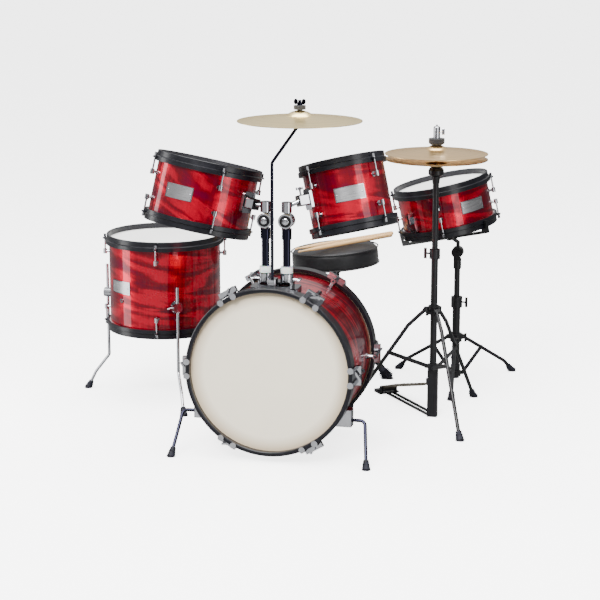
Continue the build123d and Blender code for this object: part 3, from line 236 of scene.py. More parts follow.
def red_wrap(drum, colour, glint, dark):
    """Pearly wrap: soft wavy streaks of bright and dark film under a clear glossy skin, with a painted glint
    highlight on the brightest streaks.
    """
    finish = Finish(drum + "_red_wrap", Metallic=0.8, Specular_IOR_Level=0.0, Coat_Weight=0.6,
                    Coat_Roughness=0.015)
    local = drum_frame(drum)
    swept = local @ Matrix.Rotation(radians(STREAK_LEANS[drum]), 4, "Y")
    waves = finish.noise(finish.place(swept, (2.0, 2.0, 10.0)), 2.3, 2.0, 0.45, 1.1)
    threads = finish.noise(finish.place(swept, (5.0, 5.0, 60.0)), 3.0, 3.0, 0.6, 0.5)
    ripples = finish.noise(finish.place(local, (70.0, 70.0, 1.2)), 2.4, 2.0)
    film = finish.sums("ADD", finish.sums("MULTIPLY", waves, 0.9), finish.sums("MULTIPLY", threads, 0.1))
    film = finish.sums("ADD", film, finish.sums("MULTIPLY", finish.sums("SUBTRACT", ripples, 0.5), 0.13))
    # The last stop is a painted highlight: the glint colour put on the brightest streaks.
    stops = ((0.36, dark), (0.46, shade(colour, 0.36)), (0.55, colour), (0.66, colour), (0.74, glint))
    finish.set("Base Color", finish.ramp(film, *stops))
    finish.set("Roughness", finish.ramp(film, (0.3, 0.45), (0.7, 0.24)))
    finish.bump(finish.sums("ADD", film, finish.sums("MULTIPLY", ripples, 0.3)), 2.5 * MM, 0.45)
    return finish.material


def lacquered_black(name, colour, roughness=0.34):
    """Black enamel with faint scuffs and a very fine orange peel."""
    finish = Finish(name, Coat_Weight=0.2, Coat_Roughness=0.16, Specular_IOR_Level=0.3)
    where = finish.place()
    scuff = finish.noise(where, 42.0, 6.0, 0.65)
    finish.set("Base Color", finish.ramp(scuff, (0.35, colour), (0.8, shade(colour, 2.1))))
    finish.set("Roughness", finish.ramp(scuff, (0.3, roughness), (0.75, roughness + 0.14)))
    finish.bump(finish.noise(where, 900.0, 2.0), 0.05 * MM, 0.5)
    return finish.material


def polished_chrome(name="polished_chrome", bright=(0.66, 0.67, 0.71), edge=(0.03, 0.03, 0.045)):
    """Bright plating with thin smears, with a painted dark reflection in its base colour where it turns away
    from the view.
    """
    finish = Finish(name, Metallic=1.0)
    facing = finish.node("LayerWeight", {"Blend": 0.5}).outputs["Facing"]
    smear = finish.noise(finish.place(), 28.0, 5.0, 0.6, 0.4)
    plate = finish.ramp(smear, (0.35, shade(bright, 0.84)), (0.65, bright))
    # edge is a painted dark reflection, blended into the base colour where the surface turns away from the
    # view.
    finish.set("Base Color", finish.blend(finish.ramp(facing, (0.12, 0.0), (0.62, 1.0)), plate, edge))
    finish.set("Roughness", finish.ramp(smear, (0.35, 0.05), (0.75, 0.16)))
    finish.bump(finish.noise(finish.place(), 160.0, 2.0), 0.04 * MM, 0.3)
    return finish.material


def painted_reflection_chrome(dark=(0.018, 0.018, 0.03), bright=(0.62, 0.62, 0.68)):
    """Chrome with its reflections painted into the base colour: a painted dark reflection where it faces the
    view, turning to a painted bright reflection where it is seen edge on.
    """
    finish = Finish("painted_reflection_chrome", Metallic=1.0)
    facing = finish.node("LayerWeight", {"Blend": 0.42}).outputs["Facing"]
    smear = finish.noise(finish.place(), 28.0, 5.0, 0.6, 0.4)
    # dark and bright are painted reflections, chosen by how far the surface turns from the view.
    finish.set("Base Color", finish.ramp(facing, (0.35, dark), (0.8, bright)))
    finish.set("Roughness", finish.ramp(smear, (0.35, 0.06), (0.75, 0.18)))
    finish.bump(smear, 0.04 * MM, 0.3)
    return finish.material


def brushed_plate(drum):
    """A badge's steel, brushed round the drum."""
    finish = Finish(drum + "_brushed_steel", Metallic=1.0)
    local = drum_frame(drum)
    grain = finish.noise(finish.place(local, (4.0, 4.0, 420.0)), 6.0, 4.0, 0.7)
    finish.set("Base Color", finish.ramp(grain, (0.3, (0.30, 0.30, 0.31)), (0.7, (0.56, 0.56, 0.57))))
    finish.set("Roughness", finish.ramp(grain, (0.3, 0.22), (0.7, 0.42)))
    finish.bump(grain, 0.06 * MM, 0.5)
    return finish.material


def coated_head(drum, colour, shadow, inner=0.86):
    """A drum head: a faintly mottled coating, with a painted shadow that darkens it towards its collar."""
    finish = Finish(drum + "_head", Specular_IOR_Level=0.35)
    local = drum_frame(drum)
    reach = finish.sums("DIVIDE", finish.from_axis(local), drum_radius(drum))
    where = finish.place()
    cloud = finish.noise(where, 9.0, 5.0, 0.6)
    coat = finish.ramp(cloud, (0.3, shade(colour, 0.965)), (0.7, colour))
    # shadow is a painted shadow, blended in from inner out to the rim.
    finish.set("Base Color", finish.blend(finish.ramp(reach, (inner, 0.0), (0.99, 1.0)), coat, shadow))
    finish.set("Roughness", finish.ramp(cloud, (0.3, 0.42), (0.7, 0.52)))
    finish.bump(finish.noise(where, 1100.0, 2.0), 0.05 * MM, 0.45)
    return finish.material


def lathed_brass(node, colour, groove=0.0011):
    """Cymbal bronze: fine lathe grooves, broad tonal bands and soft hammering."""
    finish = Finish(node + "_bronze", Metallic=1.0)
    local = Matrix.Translation(box_middle(node))
    spin = finish.place(local)
    fine = finish.rings(spin, tau / groove / 20.0, 0.4)
    broad = finish.noise(finish.node("CombineXYZ", {0: finish.from_axis(local)}).outputs[0], 95.0, 3.0, 0.6)
    dents = finish.cells(finish.place(), 34.0, "SMOOTH_F1")
    finish.set("Base Color", finish.ramp(broad, (0.3, shade(colour, 0.78)), (0.7, colour)))
    finish.set("Roughness", finish.ramp(broad, (0.3, 0.36), (0.7, 0.26)))
    height = finish.sums("ADD", finish.sums("MULTIPLY", fine, 0.15), finish.sums("MULTIPLY", dents, 0.25))
    finish.bump(height, 0.12 * MM, 0.3)
    return finish.material


def cast_grey(name, colour):
    """Powder-coated casting: a fine pebble, and bare metal showing a little where it is worn."""
    finish = Finish(name, Metallic=0.55)
    where = finish.place()
    wear = finish.noise(where, 30.0, 6.0, 0.7)
    finish.set("Base Color", finish.ramp(wear, (0.4, colour), (0.78, shade(colour, 2.4))))
    finish.set("Roughness", finish.ramp(wear, (0.35, 0.5), (0.8, 0.32)))
    finish.bump(finish.noise(where, 620.0, 3.0), 0.12 * MM, 0.5)
    return finish.material


def moulded_rubber(name="moulded_rubber", colour=(0.004, 0.004, 0.008)):
    finish = Finish(name, Specular_IOR_Level=0.3)
    where = finish.place()
    dust = finish.noise(where, 60.0, 5.0, 0.7)
    finish.set("Base Color", finish.ramp(dust, (0.4, colour), (0.85, shade(colour, 3.5))))
    finish.set("Roughness", finish.ramp(dust, (0.3, 0.55), (0.8, 0.8)))
    finish.bump(finish.noise(where, 700.0, 2.0), 0.1 * MM, 0.4)
    return finish.material


def seat_vinyl(colour):
    """Grained vinyl: small irregular pebbles, creases, and a grey sheen where light skims it."""
    finish = Finish("seat_vinyl", Sheen_Weight=0.1, Sheen_Roughness=0.4, Specular_IOR_Level=0.35)
    where = finish.place()
    pebbles = finish.cells(where, 620.0, "SMOOTH_F1")
    creases = finish.noise(finish.place(stretch=(1.0, 1.0, 2.2)), 38.0, 5.0, 0.65, 1.2)
    finish.set("Base Color", finish.ramp(creases, (0.35, colour), (0.75, shade(colour, 2.0))))
    finish.set("Roughness", finish.ramp(pebbles, (0.0, 0.36), (0.8, 0.52)))
    height = finish.sums("ADD", finish.sums("MULTIPLY", pebbles, 0.35), finish.sums("MULTIPLY", creases, 0.4))
    finish.bump(height, 0.5 * MM, 0.5)
    return finish.material


def clear_maple(colour, along):
    """Light maple with its grain along the sticks, under thin lacquer."""
    finish = Finish("clear_maple", Coat_Weight=0.25, Coat_Roughness=0.25)
    grain = finish.noise(finish.place(along, (3.0, 60.0, 60.0)), 4.0, 6.0, 0.6, 0.8)
    pores = finish.noise(finish.place(along, (20.0, 500.0, 500.0)), 3.0, 2.0)
    tint = finish.ramp(grain, (0.32, shade(colour, 0.66)), (0.5, colour), (0.75, shade(colour, 1.12)))
    open_pores = finish.ramp(pores, (0.62, 0.0), (0.72, 0.35))
    finish.set("Base Color", finish.blend(open_pores, tint, shade(colour, 0.45)))
    finish.set("Roughness", finish.ramp(grain, (0.3, 0.36), (0.7, 0.48)))
    finish.bump(grain, 0.12 * MM, 0.4)
    return finish.material


def wool_felt(name, colour):
    finish = Finish(name, Sheen_Weight=0.12, Roughness=0.95)
    where = finish.place()
    fuzz = finish.noise(where, 420.0, 8.0, 0.8, 1.5)
    finish.set("Base Color", finish.ramp(fuzz, (0.3, shade(colour, 0.6)), (0.7, colour)))
    finish.bump(fuzz, 0.6 * MM, 0.8)
    return finish.material


def milky_nylon(name="milky_nylon"):
    finish = Finish(name, Subsurface_Weight=0.3, Subsurface_Scale=0.01, Specular_IOR_Level=0.4)
    cloud = finish.noise(finish.place(), 70.0, 4.0, 0.6)
    finish.set("Base Color", finish.ramp(cloud, (0.3, (0.70, 0.70, 0.68)), (0.7, (0.86, 0.86, 0.84))))
    finish.set("Roughness", finish.ramp(cloud, (0.3, 0.3), (0.7, 0.42)))
    finish.bump(cloud, 0.1 * MM, 0.3)
    return finish.material


def dress(node, material, *others):
    """Gives a CAD node a finish, and gives the solids that a test picks out another one."""
    mesh = frame["nodes"][node].data
    mesh.materials.clear()
    mesh.materials.append(material)
    index = np.zeros(len(mesh.polygons), np.int32)
    if others:
        for number, (other, _) in enumerate(others, 1):
            mesh.materials.append(other)
        for faces, points in solids(node):
            for number, (_, test) in enumerate(others, 1):
                if test(points):
                    index[faces] = number
                    break
    mesh.polygons.foreach_set("material_index", index)
    mesh.update()


# ---------------------------------------------------------------- shapes
def piece(name, mesh, material, body, smooth_angle=40.0):
    """An object of a finished mesh that rides on a body."""
    made = bpy.data.objects.new(name, mesh)
    bpy.context.scene.collection.objects.link(made)
    mesh.materials.append(material)
    mesh.shade_smooth()
    mesh.set_sharp_from_angle(angle=radians(smooth_angle))
    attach(made, body)
    return made


def mesh_of(name, build):
    """A mesh whose faces a function adds to an empty bmesh."""
    shape = bmesh.new()
    build(shape)
    bmesh.ops.remove_doubles(shape, verts=shape.verts, dist=0.01 * MM)
    bmesh.ops.recalc_face_normals(shape, faces=shape.faces)
    mesh = bpy.data.meshes.new(name)
    shape.to_mesh(mesh)
    shape.free()
    return mesh


def turn_outline(shape, place, outline, steps=56, arc=tau, start=0.0):
    """Turns a closed outline of (radius, height) points about a frame's z axis."""
    whole = abs(arc - tau) < 1e-6
    count = steps if whole else steps + 1
    rows = []
    for step in range(count):
        angle = start + arc * step / steps
        spots = [(radius * cos(angle), radius * sin(angle), height) for radius, height in outline]
        rows.append([shape.verts.new(place @ Vector(spot)) for spot in spots])
    for step in range(steps):
        here, there = rows[step], rows[(step + 1) % count]
        for index in range(len(outline)):
            after = (index + 1) % len(outline)
            shape.faces.new((here[index], there[index], there[after], here[after]))
    if not whole:
        shape.faces.new(rows[0])
        shape.faces.new(rows[-1])


def ring_outline(radius, height, thick, points=10):
    """The round outline of a torus."""
    angles = [tau * number / points for number in range(points)]
    return [(radius + thick * cos(angle), height + thick * sin(angle)) for angle in angles]


# ---------------------------------------------------------------- what a user may change
class KitFinishes(bpy.types.PropertyGroup):
    def tint(label, about, default):
        return FloatVectorProperty(name=label, description=about, subtype="COLOR", size=3, default=default,
                                   min=0.0, max=1.0)

    wrap: tint("Wrap", "Bright colour of the shells' pearly wrap", (0.55, 0.0, 0.022))
    wrap_dark: tint("Wrap shadow", "Dark streaks of the wrap", (0.12, 0.0, 0.016))
    # The wrap's glint colour is a painted highlight on its brightest streaks.
    wrap_glint: tint("Wrap glint", "Brightest streaks of the wrap", (1.0, 0.08, 0.03))
    hoop: tint("Hoops", "Lacquer of the hoops", (0.002, 0.002, 0.004))
    stand: tint("Stands", "Enamel of stands and stool", (0.003, 0.003, 0.004))
    head: tint("Heads", "Coating of the small drums' heads", (0.86, 0.855, 0.84))
    bass_head: tint("Bass heads", "Film of the bass drum's heads", (0.94, 0.86, 0.69))
    crash: tint("Crash", "Bronze of the crash cymbal", (1.0, 0.80, 0.40))
    hats: tint("Hi-hat", "Bronze of the hi-hat cymbals", (0.90, 0.62, 0.29))
    pedal: tint("Pedals", "Casting of the pedals", (0.075, 0.065, 0.05))
    vinyl: tint("Seat", "Vinyl of the stool's seat", (0.005, 0.005, 0.006))
    maple: tint("Sticks", "Wood of the sticks", (0.62, 0.38, 0.17))


class KitSizes(bpy.types.PropertyGroup):
    """Sizes of the pieces that this file makes."""

    def length(label, about, default):
        return FloatProperty(name=label, description=about, subtype="DISTANCE", unit="LENGTH",
                             default=default, min=0.0)

    piping: length("Piping", "Radius of the seat's piping", 2.1 * MM)
    pad_cell: length("Pad mesh", "Size of the cells that the pad is simulated in", 5.0 * MM)
    pad_swell: length("Pad swell", "The furthest that the pad may swell", 6.0 * MM)
    boot_skin: length("Boot skin", "How far a rubber boot stands proud of its core", 0.9 * MM)
    rib_depth: length("Rib depth", "Depth of the ribs on the stool's boots", 5.0 * MM)
    rib_count: IntProperty(name="Ribs", description="Ribs on each of the stool's boots", default=5, min=1)
    badge_rim: length("Badge rim", "Width of a badge's raised rim", 1.6 * MM)


class KitStage(bpy.types.PropertyGroup):
    """Floor, light and camera."""

    floor: FloatProperty(name="Floor", description="Width of the floor", default=120.0, unit="LENGTH",
                         subtype="DISTANCE")
    glow: FloatProperty(name="Floor glow", description="How far the floor is lit up to paper white",
                        default=3.4)
    sky: FloatProperty(name="Sky", description="Strength of the even light from all round", default=0.9)
    lens: FloatProperty(name="Lens", description="Focal length on a 36 mm sensor, in mm", default=107.15)


# ---------------------------------------------------------------- operators
class KitOperator:
    bl_options = {"REGISTER", "UNDO"}

    def execute(self, context):
        scene = context.scene
        self.build(scene.kit_finishes, scene.kit_sizes, scene.kit_stage)
        return {"FINISHED"}


class KIT_OT_wraps(KitOperator, bpy.types.Operator):
    """Wraps the five shells in red pearl"""

    bl_idname = "kit.wraps"
    bl_label = "Shell wraps"

    def build(self, finishes, sizes, stage):
        for drum in DRUMS:
            dress(drum + "_shell", red_wrap(drum, finishes.wrap, finishes.wrap_glint, finishes.wrap_dark))


class KIT_OT_heads(KitOperator, bpy.types.Operator):
    """Lacquers the hoops and coats the heads"""

    bl_idname = "kit.heads"
    bl_label = "Hoops and heads"

    def build(self, finishes, sizes, stage):
        black = lacquered_black("hoop_lacquer", finishes.hoop, 0.30)
        for drum in DRUMS:
            dress(drum + "_hoops", black)
        # The darker colours passed for each head's outer ring are painted shadow.
        for drum in SMALL_DRUMS:
            dress(drum + "_heads", coated_head(drum, finishes.head, shade(finishes.head, 0.62), 0.9))
        dress("bass_heads", coated_head("bass", finishes.bass_head, (0.58, 0.47, 0.33), 0.84))


class KIT_OT_fittings(KitOperator, bpy.types.Operator):
    """Plates the lugs, rods, posts and mounts, and brushes the badges"""

    bl_idname = "kit.fittings"
    bl_label = "Plated fittings"

    def build(self, finishes, sizes, stage):
        chrome = polished_chrome()
        black = lacquered_black("fitting_black", finishes.stand, 0.36)
        for drum in SMALL_DRUMS:
            plate = brushed_plate(drum)
            spot = badge_spot(drum)
            dress(drum + "_hardware", chrome, (plate, lambda points: near(points, spot, 8 * MM)))
        dress("bass_hardware", chrome)
        dress("tom_mount", chrome)
        # The posts, spurs and crash rod get chrome whose dark face and bright edges are painted reflection.
        reflection_painted_plate = painted_reflection_chrome()
        for node in ("left_tom_post", "right_tom_post"):
            dress(node, reflection_painted_plate)
        rubber = moulded_rubber()
        for node in ("left_spur", "right_spur"):
            dress(node, reflection_painted_plate, (rubber, is_foot))
        for number in LEGS:
            dress(f"floor_tom_leg_{number}", chrome, (rubber, is_foot))
        felt = wool_felt("grey_felt", (0.03, 0.03, 0.032))
        dress("crash_rod", reflection_painted_plate, (felt, is_felt("crash_cymbal")))
        for drum, angle in BRACKET_ANGLES.items():
            paint_block(drum, angle, black)
        dress("snare_basket", black)


def paint_block(drum, angle, black):
    """Blackens the block of a hung tom's bracket, between its plate and its arm."""
    mesh = frame["nodes"][drum + "_hardware"].data
    centres = np.zeros(len(mesh.polygons) * 3, np.float32)
    mesh.polygons.foreach_get("center", centres)
    outward = Matrix.Rotation(radians(angle), 4, "Z")
    local = points_in(drum_frame(drum) @ outward, centres.reshape(-1, 3).astype(float))
    local[:, 0] -= drum_radius(drum)
    block = (np.abs(local - BRACKET_MIDDLE) < BRACKET_HALF).all(axis=1)
    index = np.zeros(len(mesh.polygons), np.int32)
    mesh.polygons.foreach_get("material_index", index)
    index[block] = len(mesh.materials)
    mesh.materials.append(black)
    mesh.polygons.foreach_set("material_index", index)
    mesh.update()


def badge_spot(drum):
    """The middle of a drum's badge."""
    angle = radians(BADGE_ANGLES[drum])
    return drum_frame(drum) @ (Vector((cos(angle), sin(angle), 0.0)) * drum_radius(drum))


def near(points, spot, reach):
    middle = (points.min(axis=0) + points.max(axis=0)) / 2
    return bool(np.linalg.norm(middle - np.array(spot)) < reach)


# The height that only feet stay under, a felt's greatest height, and its reach over a cymbal's top.
FOOT_TOP, FELT_TALL, FELT_REACH = 65 * MM, 20 * MM, 4 * MM


def is_foot(points):
    return bool(points[:, 2].max() < FOOT_TOP)


def is_felt(cymbal):
    """A test for the felts that stand just over and under a cymbal."""
    low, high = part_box(cymbal)

    def test(points):
        tall = points[:, 2].max() - points[:, 2].min()
        return bool(tall < FELT_TALL and low.z < points[:, 2].min() < high.z + FELT_REACH)

    return test


class KIT_OT_cymbals(KitOperator, bpy.types.Operator):
    """Lathes the cymbals"""

    bl_idname = "kit.cymbals"
    bl_label = "Cymbals"

    def build(self, finishes, sizes, stage):
        dress("crash_cymbal", lathed_brass("crash_cymbal", finishes.crash))
        for node in ("hihat_top_cymbal", "hihat_bottom_cymbal"):
            dress(node, lathed_brass(node, finishes.hats))


class KIT_OT_stands(KitOperator, bpy.types.Operator):
    """Enamels the stands and the stool's tripod"""

    bl_idname = "kit.stands"
    bl_label = "Stands"

    def build(self, finishes, sizes, stage):
        black = lacquered_black("stand_enamel", finishes.stand)
        rubber = moulded_rubber("stand_rubber")
        chrome = polished_chrome("stand_chrome")
        felt = wool_felt("clutch_felt", (0.010, 0.010, 0.012))
        plain = ["hihat_base", "hihat_upper_tube", "snare_stand_lower_tube", "snare_stand_upper_tube",
                 "throne_post"]
        plain += [f"{stand}_collar" for stand in TRIPODS]
        plain += [f"{stand}_brace_{number}" for stand in TRIPODS for number in LEGS]
        for node in plain:
            dress(node, black)
        for stand in TRIPODS:
            for number in LEGS:
                dress(f"{stand}_leg_{number}", black, (rubber, is_foot))
        dress("throne_tripod", black, (rubber, is_foot))
        dress("hihat_pull_rod", chrome, (felt, is_felt("hihat_top_cymbal")))


class KIT_OT_pedals(KitOperator, bpy.types.Operator):
    """Coats the pedals and the beater"""

    bl_idname = "kit.pedals"
    bl_label = "Pedals"

    def build(self, finishes, sizes, stage):
        grey = cast_grey("pedal_casting", finishes.pedal)
        for node in ("bass_pedal_frame", "bass_pedal_footboard", "bass_pedal_beater", "hihat_footboard"):
            dress(node, grey)


class KIT_OT_stool_seat(KitOperator, bpy.types.Operator):
    """Upholsters the stool's round seat, with piping round its top and foot"""

    bl_idname = "kit.stool_seat"
    bl_label = "Stool seat"

    def build(self, finishes, sizes, stage):
        make_seat(seat_vinyl(finishes.vinyl), sizes)


SEAT_LEAN = radians(4.5)
SEAT_RADIUS, SEAT_RIM, SEAT_CROWN = 131 * MM, 59 * MM, 12 * MM
SWELL_PRESSURE, SWELL_FRAMES = 4.0, 20


def seat_frame():
    """The seat's own frame: the middle of its underside, with z up through the cushion."""
    up = Vector((-sin(SEAT_LEAN), 0.0, cos(SEAT_LEAN)))
    points = corners("throne_seat")
    across = axis_frame((0.0, 0.0, 0.0), up)
    local = points_in(across, points)
    foot = Vector(((local[:, 0].min() + local[:, 0].max()) / 2, (local[:, 1].min() + local[:, 1].max()) / 2,
                   local[:, 2].min()))
    return axis_frame(across @ foot, up)


def seat_top(radius):
    """The height of the cushion's crowned top at a radius, over the seat's underside."""
    part = min(radius / SEAT_RADIUS, 1.0)
    return SEAT_RIM + SEAT_CROWN * (1.0 - part ** 2.0)


def make_seat(vinyl, sizes):
    place = seat_frame()
    side = SEAT_RADIUS - sizes.piping
    outline = [(0.0, 1.0 * MM), (side * 0.5, 1.0 * MM), (side - 5 * MM, 1.0 * MM), (side - 1.5 * MM, 5 * MM)]
    outline += [(side - 0.5 * MM, SEAT_RIM * part) for part in (0.25, 0.45, 0.65)]
    outline += [(side - 2 * MM, SEAT_RIM - 12 * MM), (side - 9 * MM, SEAT_RIM - 5 * MM)]
    outline += [(side * part, seat_top(side * part) - 4.5 * MM) for part in (0.8, 0.6, 0.4, 0.2, 0.0)]
    mesh = mesh_of("stool_cushion", lambda shape: turn_outline(shape, place, outline, 72))
    cushion = piece("stool_cushion", mesh, vinyl, "throne_seat", 60.0)
    swell(cushion, place, sizes)
    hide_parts("throne_seat")
    for name, radius, height in (("top", SEAT_RADIUS - 2.5 * MM, SEAT_RIM - 8 * MM),
                                 ("foot", SEAT_RADIUS - 2.0 * MM, 4.5 * MM)):
        ring = ring_outline(radius, height, sizes.piping)
        mesh = mesh_of(f"stool_piping_{name}", lambda shape: turn_outline(shape, place, ring, 96))
        welt = piece(f"stool_piping_{name}", mesh, vinyl, "throne_seat", 60.0)


def swell(cushion, place, sizes):
    """Blows the cushion up a little as stuffed cloth, with its foot and its welted edge held."""
    scene = bpy.context.scene
    remesh = cushion.modifiers.new("cells", "REMESH")
    remesh.mode, remesh.voxel_size = "VOXEL", sizes.pad_cell
    settle(cushion)
    rest = vertex_rows(cushion.data)
    local = points_in(place, rest)
    reach = np.hypot(local[:, 0], local[:, 1])
    held = (local[:, 2] < 12 * MM) | ((reach > SEAT_RADIUS - 16 * MM) & (local[:, 2] > SEAT_RIM - 16 * MM))
    group = cushion.vertex_groups.new(name="held")
    group.add([int(index) for index in np.flatnonzero(held)], 1.0, "REPLACE")
    cloth = cushion.modifiers.new("stuffing", "CLOTH")
    cloth.settings.use_pressure, cloth.settings.uniform_pressure_force = True, SWELL_PRESSURE
    cloth.settings.vertex_group_mass = "held"
    cloth.settings.effector_weights.gravity = 0.0
    cloth.settings.quality = 5
    for number in range(1, SWELL_FRAMES + 1):
        scene.frame_set(number)
    settle(cushion)
    scene.frame_set(1)
    moved = vertex_rows(cushion.data) - rest
    length = np.linalg.norm(moved, axis=1, keepdims=True)
    moved *= np.minimum(1.0, sizes.pad_swell / np.maximum(length, 1e-9))
    inside = points_in(place, rest + moved)
    out = np.hypot(inside[:, 0], inside[:, 1])
    squeeze = np.minimum(1.0, (SEAT_RADIUS - 0.4 * MM) / np.maximum(out, 1e-9))
    inside[:, 0] *= squeeze
    inside[:, 1] *= squeeze
    inside[:, 2] = np.clip(inside[:, 2], 0.6 * MM, seat_top(0.0) - 0.6 * MM)
    turn = np.array(place)
    swollen = (inside @ turn[:3, :3].T + turn[:3, 3]).astype(np.float32)
    cushion.data.vertices.foreach_set("co", swollen.ravel())
    cushion.vertex_groups.clear()
    cushion.data.shade_smooth()
    cushion.modifiers.new("smooth", "SUBSURF").levels = 1
    cushion.modifiers["smooth"].render_levels = 1


def vertex_rows(mesh):
    points = np.zeros(len(mesh.vertices) * 3, np.float32)
    mesh.vertices.foreach_get("co", points)
    return points.reshape(-1, 3).astype(float)


def settle(made):
    """Replaces an object's mesh with what its modifiers make of it."""
    shown = made.evaluated_get(bpy.context.evaluated_depsgraph_get())
    mesh = bpy.data.meshes.new_from_object(shown)
    made.modifiers.clear()
    made.data = mesh


STICK_TURN = radians(42.0)


class KIT_OT_sticks(KitOperator, bpy.types.Operator):
    """Gives the sticks their grain"""

    bl_idname = "kit.sticks"
    bl_label = "Sticks"

    def build(self, finishes, sizes, stage):
        side = (cos(STICK_TURN), sin(STICK_TURN), 0.0)
        along = axis_frame(box_middle("drumsticks"), (0.0, 0.0, 1.0), side)
        dress("drumsticks", clear_maple(finishes.maple, along))


def rubber_cores():
    """Every rubber foot: its name, its body, the middle of its sole, its top and its two radii."""
    stands = [f"{stand}_leg_{number}" for stand in (*TRIPODS, "floor_tom") for number in LEGS]
    for node in (*stands, "left_spur", "right_spur", "throne_tripod"):
        feet = [points for _, points in solids(node) if is_foot(points)]
        for number, points in enumerate(feet, 1):
            sole = points[points[:, 2] < 0.05 * MM]
            rim = points[points[:, 2] >= 0.05 * MM]
            foot, top = sole.mean(axis=0), rim[rim[:, 2] > rim[:, 2].mean() * 0.5].mean(axis=0)
            wide = np.linalg.norm(sole - foot, axis=1).max()
            narrow = np.linalg.norm(rim - top, axis=1).min()
            yield f"{node}_boot_{number}", BODY_OF[node], Vector(foot), Vector(top), wide, narrow


class KIT_OT_boots(KitOperator, bpy.types.Operator):
    """Moulds a boot over every foot, ribbed on the stool"""

    bl_idname = "kit.boots"
    bl_label = "Rubber boots"

    def build(self, finishes, sizes, stage):
        rubber = moulded_rubber("boot_rubber")
        for name, body, foot, top, wide, narrow in rubber_cores():
            depth = sizes.rib_depth if name.startswith("throne") else 0.0
            mesh = boot_mesh(name, foot, top, wide + sizes.boot_skin, narrow + sizes.boot_skin, depth,
                             sizes.rib_count)
            boot = piece(name, mesh, rubber, body, 50.0)


# Where a boot's ribs begin and how far up they run, as parts of its length.
RIB_START, RIB_SPAN = 0.14, 0.80


def boot_mesh(name, foot, top, wide, narrow, rib_depth, ribs):
    """A boot up a leg: a flat sole, a flared skirt and a rolled lip, with ribs if they have a depth."""
    axis = top - foot
    length = axis.length
    place = axis_frame(foot, axis)
    outline = [(0.0, 0.0), (wide, 0.0), (wide, 0.10 * length)]
    if rib_depth:
        for number in range(ribs):
            low = RIB_START + RIB_SPAN * number / ribs
            radius = wide + (narrow - wide) * low
            step = RIB_SPAN / ribs
            outline += [(radius, low * length),
                        (radius + rib_depth, (low + 0.3 * step) * length),
                        (radius + rib_depth, (low + 0.55 * step) * length),
                        (radius, (low + 0.8 * step) * length)]
    else:
        outline += [(wide * 0.90, 0.22 * length), (wide * 0.5 + narrow * 0.5, 0.5 * length),
                    (narrow, 0.8 * length)]
    outline += [(narrow + 0.9 * MM, 0.88 * length), (narrow + 1.1 * MM, 0.94 * length), (narrow, length),
                (0.0, length)]
    mesh = mesh_of(name, lambda shape: turn_outline(shape, place, outline, 40))
    for vertex in mesh.vertices:
        vertex.co.z = max(vertex.co.z, 0.0)
    return mesh


class KIT_OT_trims(KitOperator, bpy.types.Operator):
    """Makes the badges' rims, the posts' nylon collars and the ratchets' faces"""

    bl_idname = "kit.trims"
    bl_label = "Small trims"

    def build(self, finishes, sizes, stage):
        for drum in SMALL_DRUMS:
            make_badge_rim(drum, sizes.badge_rim)
        nylon = milky_nylon()
        chrome = polished_chrome("ratchet_chrome")
        black = lacquered_black("ratchet_black", finishes.stand)
        for side in ("left", "right"):
            make_collar(side, nylon)
            make_ratchet(side, chrome, black)


BADGE_WIDE, BADGE_TALL, BADGE_THICK = 77 * MM, 36 * MM, 1.6 * MM
STUD_OUTLINE = [(0.0, -0.3 * MM), (2.0 * MM, -0.3 * MM), (1.9 * MM, 0.4 * MM), (1.2 * MM, 0.9 * MM),
                (0.0, 1.1 * MM)]


def make_badge_rim(drum, rim):
    """A raised rim round a blank badge, with a rivet in each end."""
    place, radius = drum_frame(drum), drum_radius(drum) + BADGE_THICK
    half = BADGE_WIDE / radius / 2
    middle = radians(BADGE_ANGLES[drum])
    low, high = radius - 0.3 * MM, radius + 0.5 * MM

    def build(shape):
        for base in (-BADGE_TALL / 2, BADGE_TALL / 2 - rim):
            bar = [(low, base), (high, base), (high, base + rim), (low, base + rim)]
            turn_outline(shape, place, bar, 16, 2 * half, middle - half)
        for start in (middle - half, middle + half - rim / radius):
            post = [(low, -BADGE_TALL / 2 + rim), (high, -BADGE_TALL / 2 + rim), (high, BADGE_TALL / 2 - rim),
                    (low, BADGE_TALL / 2 - rim)]
            turn_outline(shape, place, post, 2, rim / radius, start)
        for side in (-1, 1):
            angle = middle + side * (half - 6 * MM / radius)
            out = place.to_3x3() @ Vector((cos(angle), sin(angle), 0.0))
            spot = place @ Vector((radius * cos(angle), radius * sin(angle), 0.0))
            turn_outline(shape, axis_frame(spot, out, (0.0, 0.0, 1.0)), STUD_OUTLINE, 20)

    name = drum + "_badge_rim"
    made = piece(name, mesh_of(name, build), polished_chrome(drum + "_rim_chrome"), BODY_OF[drum + "_shell"])


def post_axis(side):
    """The axis of a tom post, from the round of its lower end."""
    points = corners(side + "_tom_post")
    low = points[points[:, 2] < points[:, 2].min() + 1 * MM]
    middle = (low.min(axis=0) + low.max(axis=0)) / 2
    return Matrix.Translation((middle[0], middle[1], 0.0))


COLLAR_HEIGHTS, COLLAR_RADII = (0.4712, 0.4885), (10.2 * MM, 15.6 * MM)


def make_collar(side, nylon):
    """The milky collar that a post stands in."""
    place = post_axis(side)
    low, high = COLLAR_HEIGHTS
    inner, outer = COLLAR_RADII
    outline = [(inner, low), (outer - 1 * MM, low), (outer, low + 1 * MM), (outer, high - 2 * MM),
               (outer - 1.5 * MM, high), (inner, high)]
    mesh = mesh_of(side + "_post_collar", lambda shape: turn_outline(shape, place, outline, 48))
    made = piece(side + "_post_collar", mesh, nylon, side + "_tom_post")


RATCHET_HIGH, RATCHET_WIDE, RATCHET_DEEP, RATCHET_TEETH = 0.605, 19 * MM, 14.15 * MM, 24


